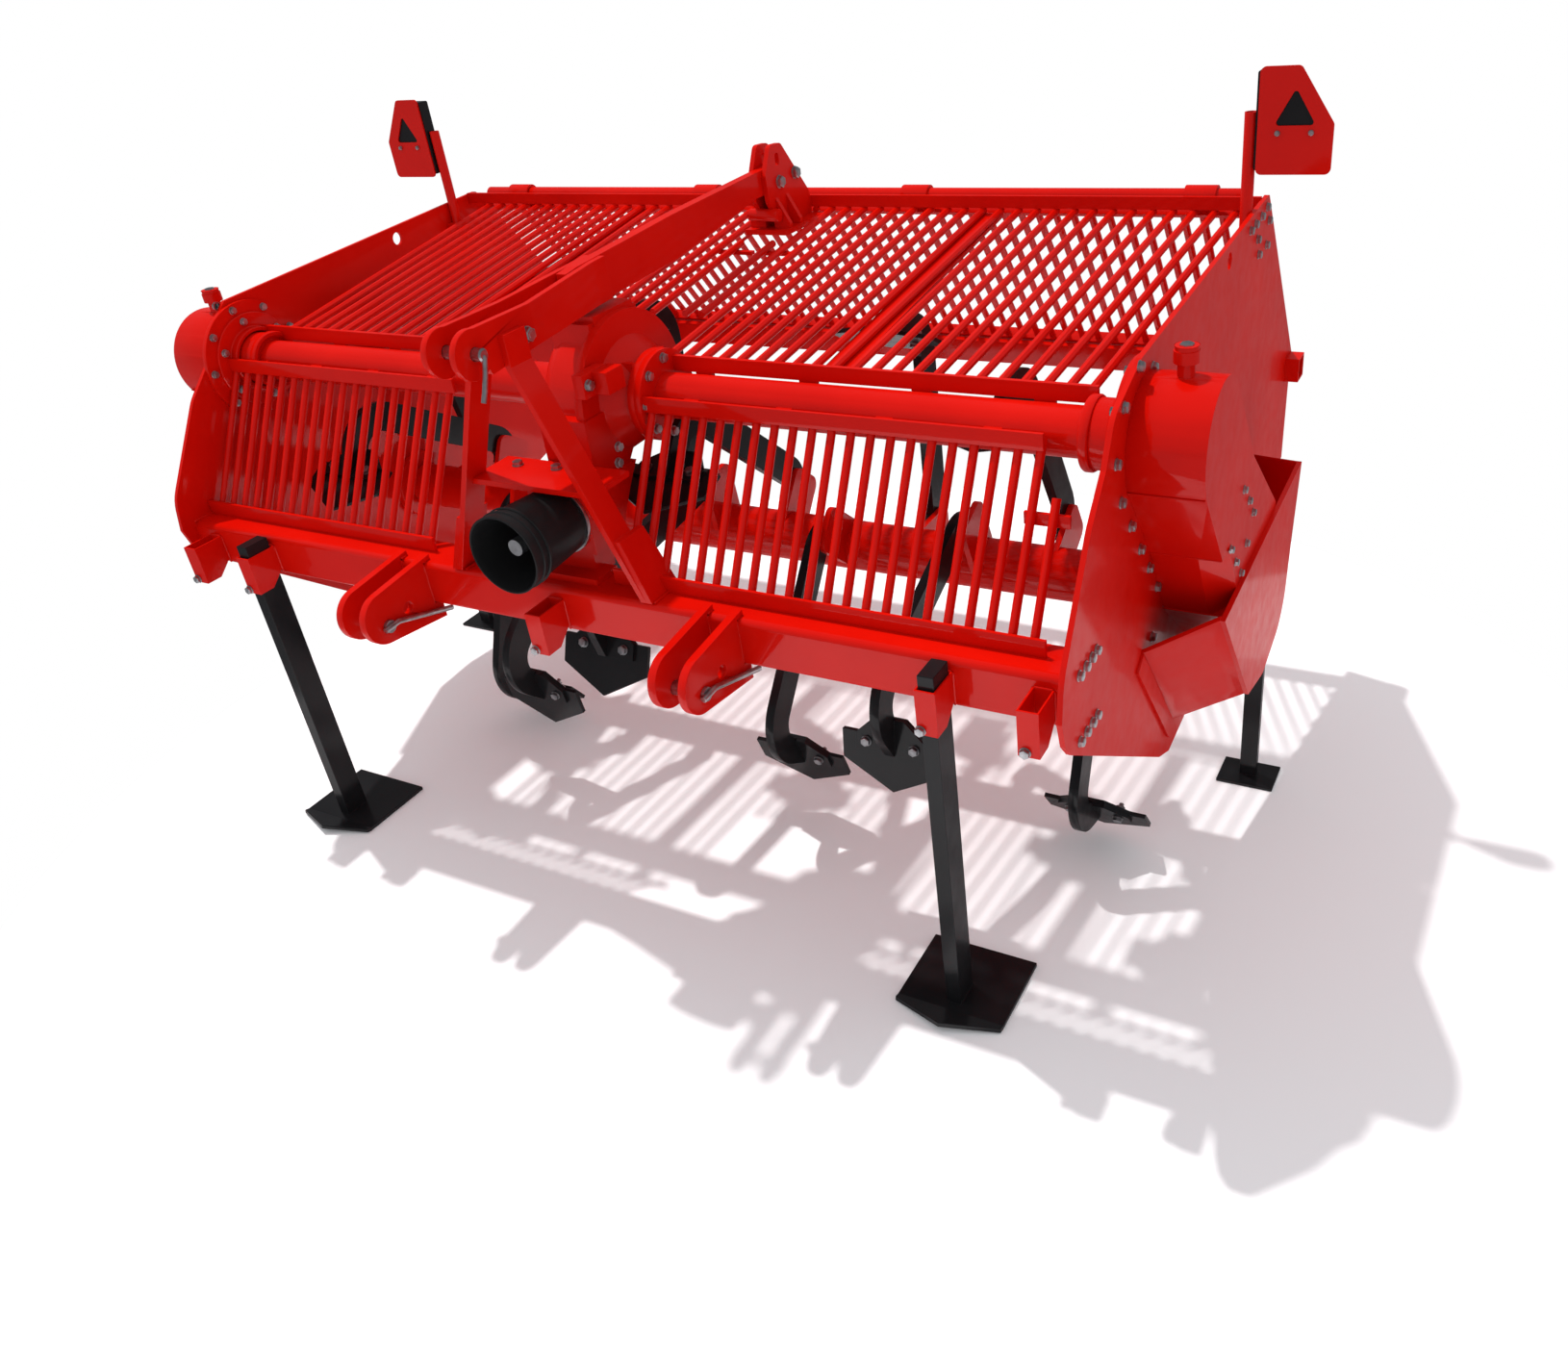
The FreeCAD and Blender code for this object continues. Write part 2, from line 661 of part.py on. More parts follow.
# Cross tubes: each carries the drive from the gearbox out to a side case, with a flange at either end.
# The inner flanges are relieved below for the tools to pass.
outer_x = size("inside_width") / 2
last_bar_x = outer_x - size("bar_end_gap")
swept = Part.makeCylinder(size("tool_reach") + size("tool_clearance"), 2 * outer_x,
                          Vector(-outer_x, size("rotor_y"), size("rotor_z")), Vector(1, 0, 0))
for hand, side, flange_x in (("right", 1, size("gearbox_right_x")), ("left", -1, -size("gearbox_left_x"))):
    drive_tube = revolved(
        "X", (0, size("shaft_y"), size("shaft_z")),
        [(side * along, radius) for along, radius in (
            (flange_x, 0), (flange_x, size("mid_flange_radius")),
            (flange_x + size("mid_flange_thickness"), size("mid_flange_radius")),
            (flange_x + size("mid_flange_thickness"), size("tube_radius")),
            (outer_x - size("end_flange_thickness") - size("sleeve_length"), size("tube_radius")),
            (outer_x - size("end_flange_thickness") - size("sleeve_length"), size("sleeve_radius")),
            (outer_x - size("end_flange_thickness"), size("sleeve_radius")),
            (outer_x - size("end_flange_thickness"), size("end_flange_radius")),
            (outer_x, size("end_flange_radius")), (outer_x, 0))])
    passing = swept.common(box((side * flange_x - 40, 0, 0), (side * flange_x + 40, 2000, 2000)))
    sub_part(f"cross_tube_{hand}", ready_made(f"cross_tube_{hand}_turned", drive_tube.cut(passing)))


def lofted(sections):
    """The solid between two closed sections, the right way out."""
    solid = Part.makeLoft(sections, True, True)
    if solid.Volume < 0:
        solid.reverse()
    return solid


def gearbox_shape():
    """The casting: a drum across the machine, a bell to the right tube, and a housing for the input."""
    y, z = size("shaft_y"), size("shaft_z")
    left, right = size("gearbox_left_x"), size("gearbox_right_x")
    radius, mouth = size("gearbox_radius"), size("gearbox_mouth_y")
    half = size("gearbox_mouth_width") / 2
    flange = size("gearbox_flange_radius")
    bell = size("mid_flange_radius")
    drum = revolved("X", (0, y, z), [
        (left, 0), (left, radius - 50), (left + 20, radius - 15), (left + 50, radius), (left + 126, radius),
        (left + 126, flange), (left + 146, flange), (left + 146, radius - 30), (right - 16, bell - 18),
        (right - 16, bell), (right, bell), (right, 0)])
    beam_top = size("beam_bottom_z") + size("beam_height")
    input_z = size("pto_z")
    bottom = input_z - half
    pieces = [
        box((left + 25, y - 80, z), (left + 126, y + 80, size("gearbox_cap_z") - 12)),
        box((left + 40, y - 65, z), (left + 130, y + 65, size("gearbox_cap_z"))),
        box((-half, mouth, bottom), (half, y, input_z + half - 12)),
        box((-half + 15, mouth + 65, bottom), (half - 15, y, z)),
        box((-half - 20, mouth - 40, beam_top), (half + 20, mouth + 30, beam_top + 14)),
        box((-half + 10, mouth, beam_top), (half - 10, mouth + 60, bottom))]
    for step in (-1, 0, 1):
        pieces.append(box((left + 146, y - 6 + 50 * step, z), (right - 16, y + 6 + 50 * step, z + bell - 12)))
    bearing = Part.makeCylinder(size("shaft_shoulder_radius") + size("shaft_clearance"), 36,
                                Vector(0, mouth - 5, input_z), Vector(0, 1, 0))
    relieved = [piece.cut(swept) for piece in [drum] + pieces]
    tube = Part.makeCylinder(size("cup_rear_radius") + 4, 10, Vector(0, mouth - 10, input_z), Vector(0, 1, 0))
    return relieved[0].fuse(relieved[1:]).cut([bearing, tube])


# Gearbox: turns the input shaft's drive sideways.  Its underside is relieved for the tools to pass.
casting = gearbox_shape()
sub_part("gearbox", ready_made("gearbox_casting", casting))

# Input shaft: the splined stub that the tractor's shaft pushes on to.
shaft_y0, shoulder_y = size("pto_end_y"), size("shaft_shoulder_y")
shaft_rear_y = size("gearbox_mouth_y") + 30
sub_part("input_shaft", ready_made("input_shaft_turned", revolved(
    "Y", (0, 0, size("pto_z")),
    [(shaft_y0, 0), (shaft_y0, size("pto_radius")), (shoulder_y, size("pto_radius")),
     (shoulder_y, size("shaft_shoulder_radius")), (shaft_rear_y, size("shaft_shoulder_radius")),
     (shaft_rear_y, 0)])))

# Guard cup: a ribbed plastic sleeve around the input shaft, clamped by a ring on the gearbox.
front_y, rear_y, wall = size("cup_front_y"), size("cup_rear_y"), size("cup_wall")
sub_part("pto_guard", ready_made("pto_guard_moulded", revolved(
    "Y", (0, 0, size("pto_z")),
    [(front_y, size("cup_radius") - wall), (front_y, size("cup_radius")), (rear_y, size("cup_rear_radius")),
     (rear_y, size("cup_rear_radius") - wall)])))
ring_inside, ring_outside = size("cup_rear_radius") - 12, size("cup_rear_radius") + 4
mouth_y = size("gearbox_mouth_y")
sub_part("pto_guard_ring", ready_made("pto_guard_ring_turned", revolved(
    "Y", (0, 0, size("pto_z")),
    [(rear_y, ring_inside), (rear_y, ring_outside), (mouth_y, ring_outside), (mouth_y, ring_inside)])))


def brace_shape(foot_x):
    """A flat bar from the beam up to the link arms, with a doubling plate at the foot."""
    thick, wide, lean = size("brace_thickness"), size("brace_width"), size("brace_lean")
    low_z = size("beam_bottom_z") + size("beam_height")
    bend_z, top_x = size("brace_bend_z"), (size("link_arm_gap") / 2 + size("link_arm_thickness") + thick / 2)

    def section(x, y, z, width, across):
        corners = [(-across / 2, 0), (across / 2, 0), (across / 2, width), (-across / 2, width)]
        points = [Vector(x + dx, y + dy, z) for dx, dy in corners]
        return Part.makePolygon(points + points[:1])

    bar = lofted([section(foot_x, 0, low_z, wide, thick), section(top_x, -lean, bend_z, wide, thick)])
    tab = lofted([section(top_x, -lean, bend_z, wide, thick),
                  section(top_x, -lean, size("brace_top_z"), wide, thick)])
    rise = size("brace_foot_height")
    drift = (foot_x - top_x) * rise / (bend_z - low_z)
    doubler = lofted([section(foot_x + thick, 0, low_z, wide + 35, thick),
                      section(foot_x + thick - drift, 0, low_z + rise, wide + 20, thick)])
    return bar.fuse([tab, doubler]).removeSplitter()


# Headstock braces: the two slanting legs of the frame that carries the top link.
brace_right = brace_shape(size("brace_foot_x"))
brace_left = brace_shape(size("brace_foot_x_left")).mirror(Vector(), Vector(1, 0, 0))
sub_part("headstock_brace_right", ready_made("brace_right_bar", brace_right))
sub_part("headstock_brace_left", ready_made("brace_left_bar", brace_left))

# Shelf: a plate that ties the braces together above the input shaft.
shelf_z = size("shelf_z")
shelf = box((-size("shelf_left"), size("shelf_front_y"), shelf_z),
            (size("shelf_right"), size("shelf_rear_y"), shelf_z + size("shelf_thickness")))
sub_part("headstock_shelf", ready_made("headstock_shelf_plate", shelf.cut([brace_right, brace_left])))


def link_arm(side):
    """One plate of the fork: straight beside the pin, then bent in to lie against the headstock beam."""
    near = size("link_arm_gap") / 2
    thick = size("link_arm_thickness")
    beam_side = size("headstock_beam_width") / 2
    pin_y, pin_z = size("headstock_pin_y"), size("headstock_pin_z")
    bend_y, join_y, lap = size("fork_bend_y"), size("fork_join_y"), size("fork_lap")
    low, high = pin_z - 36, pin_z + 45
    low_join, high_join = pin_z - 24, pin_z + 62

    def section(x, y, bottom, top):
        corners = [Vector(side * x, y, bottom), Vector(side * (x + thick), y, bottom),
                   Vector(side * (x + thick), y, top), Vector(side * x, y, top)]
        return Part.makePolygon(corners + corners[:1])

    start = near if side > 0 else -near - thick
    front = slab([(pin_y - 12, high), (bend_y, high), (bend_y, low), (pin_y + 30, pin_z - 48)], "X", start, thick)
    nose = Part.makeCylinder(47, thick, Vector(start, pin_y - 4, pin_z), Vector(1, 0, 0))
    slanting = lofted([section(near, bend_y, low, high), section(beam_side, join_y, low_join, high_join)])
    rear = lofted([section(beam_side, join_y, low_join, high_join),
                   section(beam_side, join_y + lap, low_join + 2, high_join + 2)])
    bore = Part.makeCylinder(size("headstock_pin_diameter") / 2 + size("pin_clearance"), 3 * thick,
                             Vector(start - thick, pin_y, pin_z), Vector(1, 0, 0))
    return front.fuse([nose, slanting, rear]).removeSplitter().cut(bore)


# Top link arms: the two plates of the fork that takes the tractor's top link.
arm_right, arm_left = link_arm(1), link_arm(-1)
spacer = Part.makeCylinder(size("link_spacer_radius"), size("link_arm_gap"), Vector(
    -size("link_arm_gap") / 2, size("headstock_pin_y") + size("link_spacer_back"),
    size("headstock_pin_z") - size("link_spacer_drop")), Vector(1, 0, 0))
sub_part("top_link_arm_right", ready_made("link_arm_right_plate", arm_right))
sub_part("top_link_arm_left", ready_made("link_arm_left_plate", arm_left))
sub_part("top_link_spacer", ready_made("top_link_spacer_tube", spacer))
half_gap = size("link_arm_gap") / 2 + size("link_arm_thickness")
sub_part("top_link_pin", ready_made("top_link_pin_bar", hitch_pin(
    -half_gap - 16, size("headstock_pin_y"), size("headstock_pin_z"),
    2 * half_gap + 16 + size("brace_thickness") + size("handle_radius"), size("headstock_pin_diameter") / 2)))

# Headstock beam: one deep plate from the fork, over the grille, back to the tower.
beam_half = size("headstock_beam_width") / 2
rail_y = size("rear_rail_y")
pin_z = size("headstock_pin_z")
headstock_beam = slab(
    [(size("headstock_beam_front_y"), pin_z - 30), (590, pin_z - 12), (943, pin_z + 37), (rail_y - 44, pin_z + 37),
     (rail_y - 97, pin_z + 98), (609, pin_z + 82), (268, pin_z + 61), (size("headstock_beam_front_y"), pin_z + 56)],
    "X", -beam_half, 2 * beam_half)
sub_part("headstock_beam", ready_made("headstock_beam_plate", headstock_beam))


def tower_shape():
    """Two cheek plates beside the headstock beam, ribbed down to a foot plate in front of the rear rail."""
    thick, foot_z, foot_half = size("tower_thickness"), size("tower_foot_z"), size("tower_foot_half")
    front, apex_y, apex_z = size("tower_front_y"), size("tower_apex_y"), size("tower_apex_z")
    outline = [(front, foot_z + 66), (front - 4, foot_z + 127), (apex_y - 24, apex_z, 18),
               (apex_y + 24, apex_z - 3, 18), (rail_y - 6, foot_z + 58), (rail_y, foot_z + 40), (rail_y, foot_z),
               (front + 40, foot_z)]
    slot = slab([(apex_y - 9, apex_z - 22, 8), (apex_y + 9, apex_z - 22, 8), (apex_y + 9, apex_z - 50, 8),
                 (apex_y - 9, apex_z - 50, 8)], "X", -foot_half, 2 * foot_half)
    cheeks = [slab(outline, "X", x, thick) for x in (beam_half, -beam_half - thick)]
    foot = box((-foot_half, front + 5, foot_z - thick), (foot_half, rail_y, foot_z))
    boss = Part.makeCylinder(size("tower_boss_radius"), 2 * foot_half - 40,
                             Vector(20 - foot_half, front + 12, foot_z + 34), Vector(1, 0, 0))
    pieces = [cheeks[1], foot, boss]
    rib_foot, rib_top = foot_half - 3, foot_z + size("tower_rib_height")
    for side in (-1, 1):
        for y in (front + 28, front + 78):
            corners = [Vector(side * beam_half, y, foot_z), Vector(side * rib_foot, y, foot_z),
                       Vector(side * rib_foot, y, foot_z + 12), Vector(side * (beam_half + thick), y, rib_top),
                       Vector(side * beam_half, y, rib_top)]
            pieces.append(Part.Face(Part.makePolygon(corners + corners[:1])).extrude(Vector(0, thick, 0)))
    return cheeks[0].fuse(pieces).removeSplitter().cut([slot, headstock_beam])


# Tower: stands in front of the rear rail and holds the rear end of the headstock beam.
sub_part("tower", ready_made("tower_welded", tower_shape()))


def bar(start, end):
    """One thin grille bar between two points, as an eight-sided prism."""
    along = Vector(*end) - Vector(*start)
    radius = size("bar_radius")
    corners = [Vector(radius * math.cos(math.pi * (k + 0.5) / 4), radius * math.sin(math.pi * (k + 0.5) / 4), 0)
               for k in range(8)]
    prism = Part.Face(Part.makePolygon(corners + corners[:1])).extrude(Vector(0, 0, along.Length))
    turn = FreeCAD.Rotation(Vector(1, 0, 0), Vector(0, 1, 0), along, "ZXY")
    prism.Placement = FreeCAD.Placement(Vector(*start), turn)
    return prism


def bar_places(first, last):
    """The bar positions across the machine, counted inwards from the last bar."""
    pitch = size("bar_pitch")
    places = []
    x = last_bar_x
    while x > -last_bar_x - 1:
        if first <= x <= last:
            places.append(x)
        x -= pitch
    return places


def top_grille(first_x, last_x, rail_start, rail_end, half_start, half_end, strap_x):
    """One half of the top grille: rails, bars, a strap below them and lugs down to the cross tube."""
    rail_y0, rail_z0 = size("top_rail_y"), size("top_rail_z")
    thick, tall = size("rail_thickness"), size("rail_height")
    rear_y0, rear_z0 = size("rear_rail_y"), size("rear_rail_z")
    front_end = (rail_y0, size("bar_front_z"))
    rear_end = (rear_y0 + thick, rear_z0 - size("bar_radius") + 2)
    pieces = [box((half_start, rear_y0, rear_z0), (half_end, rear_y0 + thick, rear_z0 + size("rear_rail_height")))]
    drop = size("bar_radius") - 1
    strap = size("grille_strap_thickness")
    pieces.append(slab([(front_end[0], front_end[1] - drop), (rear_end[0], rear_end[1] - drop),
                        (rear_end[0], rear_end[1] - drop - strap), (front_end[0], front_end[1] - drop - strap)],
                       "X", strap_x - size("grille_strap_width") / 2, size("grille_strap_width")))
    pieces.append(box((rail_start, rail_y0 - thick / 2, rail_z0), (rail_end, rail_y0 + thick / 2, rail_z0 + tall)))
    for k in range(4):
        lug_x = rail_start + 80 + (rail_end - rail_start - 160 - size("grille_lug_width")) * k / 3
        pieces.append(box((lug_x, rail_y0 - thick / 2, size("shaft_z")),
                          (lug_x + size("grille_lug_width"), rail_y0 + thick / 2, rail_z0 + 1)))
    for x in bar_places(first_x, last_x):
        if rail_start <= x <= rail_end:
            start = (x, front_end[0], front_end[1])
        else:
            share = (size("short_bar_y") - front_end[0]) / (rear_end[0] - front_end[0])
            start = (x, size("short_bar_y"), front_end[1] + (rear_end[1] - front_end[1]) * share)
        pieces.append(bar(start, (x * size("bar_spread"), rear_end[0], rear_end[1])))
    welded = pieces[0].fuse(pieces[1:])
    tube = Part.makeCylinder(size("tube_radius"), 2 * outer_x, Vector(-outer_x, size("shaft_y"), size("shaft_z")),
                             Vector(1, 0, 0))
    for along_x, radius, length in (
            (outer_x - size("end_flange_thickness") - size("sleeve_length"), size("sleeve_radius"), 300),
            (outer_x - size("end_flange_thickness"), size("end_flange_radius"), 300),
            (0, size("mid_flange_radius") + 4, size("gearbox_right_x") + size("mid_flange_thickness"))):
        for side in (-1, 1):
            tube = tube.fuse(Part.makeCylinder(radius, length, Vector(
                side * along_x, size("shaft_y"), size("shaft_z")), Vector(side, 0, 0)))
    foot_half = size("tower_foot_half") + 2
    foot_space = box((-foot_half, size("tower_front_y") - 25, size("shaft_z")),
                     (foot_half, rear_y0, size("tower_foot_z") + 60))
    side = 1 if strap_x > 0 else -1
    tie_y = size("tower_front_y") - 60
    tie_z = front_end[1] + (rear_end[1] - front_end[1]) * (tie_y - front_end[0]) / (rear_end[0] - front_end[0])
    tie_ends = sorted((side * size("bar_radius"), side * (foot_half + size("bar_pitch"))))
    tie = box((tie_ends[0], tie_y, tie_z - drop - strap), (tie_ends[1], tie_y + 15, tie_z - drop))
    return welded.fuse(tie).cut([tube, foot_space, casting])


# Top grille: thin bars over the spades, in two halves either side of the headstock.
sub_part("top_grille_right", ready_made("top_grille_right_bars", top_grille(
    beam_half, last_bar_x, size("top_grille_right_start"), last_bar_x + 12,
    0, outer_x, size("grille_strap_x"))))
sub_part("top_grille_left", ready_made("top_grille_left_bars", top_grille(
    -last_bar_x, -beam_half, -outer_x, size("top_grille_left_end"),
    -outer_x, 0, -size("grille_strap_x"))))


def front_grille(first_x, last_x, upper_end):
    """One half of the front grille: a lower rail on the beam, an upper rail on the tube, and the bars."""
    thick = size("front_rail_thickness")
    beam_top = size("beam_bottom_z") + size("beam_height")
    upper_y = size("shaft_y") - size("tube_radius") - thick
    upper_z = size("upper_rail_z")
    lower_y = size("lower_rail_y")
    low = (lower_y + thick / 2, beam_top + size("lower_rail_height") - 10)
    high = (upper_y + thick / 2, upper_z + 5)
    pieces = [box((first_x, lower_y, beam_top), (last_x, lower_y + thick, beam_top + size("lower_rail_height"))),
              box((first_x, upper_y, upper_z), (upper_end, upper_y + thick, upper_z + size("upper_rail_height")))]
    short = 0.72
    for x in bar_places(first_x, last_x):
        share = short if x > upper_end else 1
        pieces.append(bar((x, low[0], low[1]), (x, low[0] + (high[0] - low[0]) * share,
                                                low[1] + (high[1] - low[1]) * share)))
    if last_x > upper_end:
        y, z = (low[i] + (high[i] - low[i]) * 0.6 for i in (0, 1))
        pieces.append(box((upper_end - 20, y - thick / 2, z - thick / 2), (last_x, y + thick / 2, z + thick / 2)))
    sleeves = [Part.makeCylinder(size("sleeve_radius") if step else size("end_flange_radius"), 300, Vector(
        side * (outer_x - size("end_flange_thickness") - step * size("sleeve_length")), size("shaft_y"),
        size("shaft_z")), Vector(side, 0, 0)) for side in (-1, 1) for step in (0, 1)]
    flange = Part.makeCylinder(size("mid_flange_radius") + 2, 2 * size("mid_flange_thickness"), Vector(
        size("gearbox_right_x") - size("mid_flange_thickness") + 2, size("shaft_y"), size("shaft_z")),
        Vector(1, 0, 0))
    grille = pieces[0].fuse(pieces[1:]).cut(sleeves + [flange, casting, brace_right, brace_left])
    return max(grille.Solids, key=lambda piece: piece.Volume)


# Front grille: slopes up from the beam to the cross tubes.  Its outermost right bars end short.
sub_part("front_grille_right", ready_made("front_grille_right_bars", front_grille(
    size("front_grille_right_start"), outer_x - size("front_grille_right_gap"), last_bar_x - 51)))
sub_part("front_grille_left", ready_made("front_grille_left_bars", front_grille(
    -outer_x, size("front_grille_left_end") - 39, size("front_grille_left_end") - 39)))

# Rear tube: the round bar that the rear hood hangs from, on lugs behind the rear rail.
# The lugs' places are shares of the half width.
LUG_PLACES = (-0.926, -0.559, -0.14, 0.14, 0.559, 0.95)
tube_y, tube_z, tube_r = size("rear_tube_y"), size("rear_tube_z"), size("rear_tube_radius")
rear_face = size("rear_rail_y") + size("rail_thickness")
tube_start, tube_end = -outer_x + size("rear_tube_left_end"), outer_x - size("rear_tube_right_end")
lug = size("hinge_lug_thickness")
hung = [Part.makeCylinder(tube_r, tube_end - tube_start, Vector(tube_start, tube_y, tube_z), Vector(1, 0, 0))]
for share in LUG_PLACES:
    lug_x = outer_x * share
    hung.append(box((lug_x, rear_face, tube_z - 14), (lug_x + lug, tube_y, tube_z + 6)))
sub_part("rear_tube", ready_made("rear_tube_welded", hung[0].fuse(hung[1:]).removeSplitter()))


def hood_shape():
    """The rear hood, built flat with its hinge axis at the origin and hung down at its closed angle."""
    half = outer_x - size("hood_clearance")
    angle = math.radians(size("hood_angle"))
    thick, tall = size("rail_thickness"), size("rail_height")
    rest_z = size("rear_beam_z") + size("rear_beam_size") + size("hood_rest_gap")
    reach = (tube_z - rest_z - tall / 2 * math.cos(angle)) / math.sin(angle)
    start = size("hood_rail_offset")
    sleeve, length = size("hinge_sleeve_radius"), size("hinge_sleeve_length")
    pieces = [box((-half, start, -tall / 2), (half, start + thick, tall / 2)),
              box((-half, reach - thick, -tall / 2), (half, reach, tall / 2))]
    for middle in (-966, -315, 305, 1007):
        pieces.append(Part.makeCylinder(sleeve, length, Vector(middle - length / 2, 0, 0), Vector(1, 0, 0)))
        pieces.append(box((middle - length / 2 + 8, 0, -8), (middle + length / 2 - 8, start + 1, 8)))
    for x in bar_places(-half, half):
        pieces.append(bar((x, start + thick / 2, 0), (x, reach - thick / 2, 0)))
    flat = pieces[0].fuse(pieces[1:]).cut(
        Part.makeCylinder(tube_r + size("hinge_clearance"), 2 * half, Vector(-half, 0, 0), Vector(1, 0, 0)))
    flat.rotate(Vector(), Vector(1, 0, 0), -size("hood_angle"))
    flat.translate(Vector(0, tube_y, tube_z))
    return flat


# Rear hood: a hinged grille over the back of the rotor, resting on the rear cross tube.
sub_part("rear_hood", ready_made("rear_hood_bars", hood_shape()))


def across_y(points, start, thickness):
    """The solid of a flat plate across Y, from (x, z) numbers."""
    solid = slab(points, "Z", 0, thickness)
    solid.rotate(Vector(), Vector(1, 0, 0), 90)
    solid.translate(Vector(0, start + thickness, 0))
    return solid


def both_sides(*shapes):
    """Right-hand shapes and their mirror images."""
    return Part.makeCompound(list(shapes) + [shape.mirror(Vector(), Vector(1, 0, 0)) for shape in shapes])


# Reflector boards: red plates, each with a three-sided window, on black lamp boxes and round posts.
inner, outer, peak = (outer_x + size(gap) for gap in ("board_inner_gap", "board_outer_gap", "board_top_gap"))
board_y = size("board_y")
top_z, low_z, side_z = size("board_top_z"), size("board_bottom_z"), size("board_side_z")
board = across_y([(inner, low_z, 12), (outer, low_z, 12), (outer, side_z, 12), (peak, top_z, 12),
                  (inner, top_z, 12)], board_y, size("board_thickness"))
window = across_y([(inner + 32, side_z - 2, 6), (outer - 35, side_z - 2, 6), (peak - 7, top_z - 41, 6)],
                  board_y - 1, size("board_thickness") + 2)
sub_part("reflector_boards", ready_made("reflector_board_pair", both_sides(board.cut(window))))
inset = size("lamp_inset")
lamp_y = board_y + size("board_thickness")
lamp = across_y([(outer_x, low_z + inset), (outer - inset, low_z + inset), (outer - inset, side_z - 4),
                 (peak - 4, top_z - inset), (outer_x, top_z - inset)], lamp_y, size("lamp_depth"))
sub_part("reflector_backings", ready_made("reflector_backing_pair", both_sides(lamp)))
post_r = size("post_radius")
post_y = lamp_y + size("lamp_depth") / 2
plate_top = size("plate_top_rear_z") - 10
post_foot = plate_top - size("post_lap")
post = Part.makeCylinder(post_r, size("post_top_z") - post_foot, Vector(outer_x - post_r, post_y, post_foot))
bracket = box((outer_x - 2 * post_r - 6, post_y - 30, post_foot + 10), (outer_x, post_y + 30, post_foot + 40))
bore = Part.makeCylinder(post_r - 3, 60, Vector(outer_x - post_r, post_y, size("post_top_z") - 50))
sub_part("reflector_posts", ready_made("reflector_post_pair", both_sides(post.fuse(bracket).cut(bore))))


def side_case_shape():
    """The drive case outside the right plate: a drum, a bent leg down to the rotor, and a breather."""
    start = outer_x + size("plate_thickness")
    deep = size("case_depth")
    drum = (size("shaft_y"), size("shaft_z"), size("case_radius"))
    end = (size("rotor_y"), size("rotor_z"), size("case_end_radius"))
    bend, knee = (size("case_bend_y"), size("case_bend_z")), (size("case_knee_y"), size("case_knee_z"))
    hip, bulge = (size("case_hip_y"), size("case_hip_z")), (size("case_bulge_y"), size("case_bulge_z"))
    leg = slab([touch_point(*bend, *drum, 1), bend, knee, touch_point(*knee, *end, -1), (end[0], end[1]),
                touch_point(*hip, *end, 1), hip, bulge, touch_point(*bulge, *drum, -1), (drum[0], drum[1])],
               "X", start, deep)
    rounds = [Part.makeCylinder(radius, deep, Vector(start, y, z), Vector(1, 0, 0)) for y, z, radius in (drum, end)]
    breather_z = drum[1] + size("breather_height") + drum[2]
    middle = start + deep / 2
    neck = Part.makeCylinder(size("breather_radius"), breather_z - drum[1], Vector(middle, drum[0], drum[1]))
    cap = Part.makeCylinder(size("breather_cap_radius"), 24, Vector(middle, drum[0], breather_z - 24))
    bevel, over = size("case_bevel"), 5
    down = Vector(0, knee[0] - bend[0], knee[1] - bend[1]).normalize()
    inward = Vector(1, 0, 0).cross(down)
    corner_x = start + deep
    wedge = lofted([Part.makePolygon([edge + corner for corner in (
        Vector(over, 0, 0) - inward * over, Vector(-bevel - over, 0, 0) - inward * over,
        Vector(over, 0, 0) + inward * (bevel + over), Vector(over, 0, 0) - inward * over)])
        for edge in (Vector(corner_x, *bend), Vector(corner_x, *knee) + down * over)])
    return leg.fuse(rounds + [neck, cap]).removeSplitter().cut(wedge)


# Side cases: carry the drive down to the rotor on each side.
side_case = sub_part("side_case_right", ready_made("side_case_cover", side_case_shape()))
mirrored("side_case_left", side_case)


def leaning_plate(low_start, low_end, high_start, high_end, thickness):
    """A flat plate from a (y, z) line on the side plate out to another on the guard's face."""
    sections = []
    near_x = outer_x + size("plate_thickness")
    for x, start, end in ((near_x, low_start, low_end), (near_x + size("case_depth"), high_start, high_end)):
        along = Vector(0, end[0] - start[0], end[1] - start[1]).normalize()
        normal = Vector(1, 0, 0).cross(along) * thickness
        corners = [Vector(x, *start), Vector(x, *end), Vector(x, *end) + normal, Vector(x, *start) + normal]
        sections.append(Part.makePolygon(corners + corners[:1]))
    return lofted(sections)


def guard_shape():
    """The right guard: a face plate held out from the side plate by two leaning plates."""
    thick = size("guard_thickness")
    nose, foot = (size("guard_nose_y"), size("guard_nose_z")), (size("guard_foot_y"), size("guard_foot_z"))
    tail = (size("guard_tail_y"), size("guard_tail_z"))
    root, root_foot = ((size("guard_root_y"), size("guard_root_z")),
                       (size("guard_root_foot_y"), size("guard_root_foot_z")))
    back = (size("guard_back_y"), size("guard_back_z"))
    deep = size("guard_back_depth")
    face = slab([nose, foot, (foot[0] + 141, foot[1] - 32, 60), (tail[0] - 93, tail[1] - 343, 120),
                 (tail[0] - 50, tail[1] - 166, 120), tail],
                "X", outer_x + size("plate_thickness") + size("case_depth"), thick)
    front = leaning_plate(root, root_foot, nose, foot, thick)
    rear = leaning_plate(back, (back[0] - 56, back[1] - deep), tail, (tail[0] - 35, tail[1] - deep - 30), -thick)
    slope = Vector(root_foot[0] - root[0], root_foot[1] - root[1], 0).normalize() * 40
    strip = slab([root, root_foot, (root_foot[0] + slope.y, root_foot[1] - slope.x),
                  (root[0] + slope.y, root[1] - slope.x)], "X", outer_x + size("plate_thickness"), 6)
    return face.fuse([front, rear, strip]).removeSplitter()


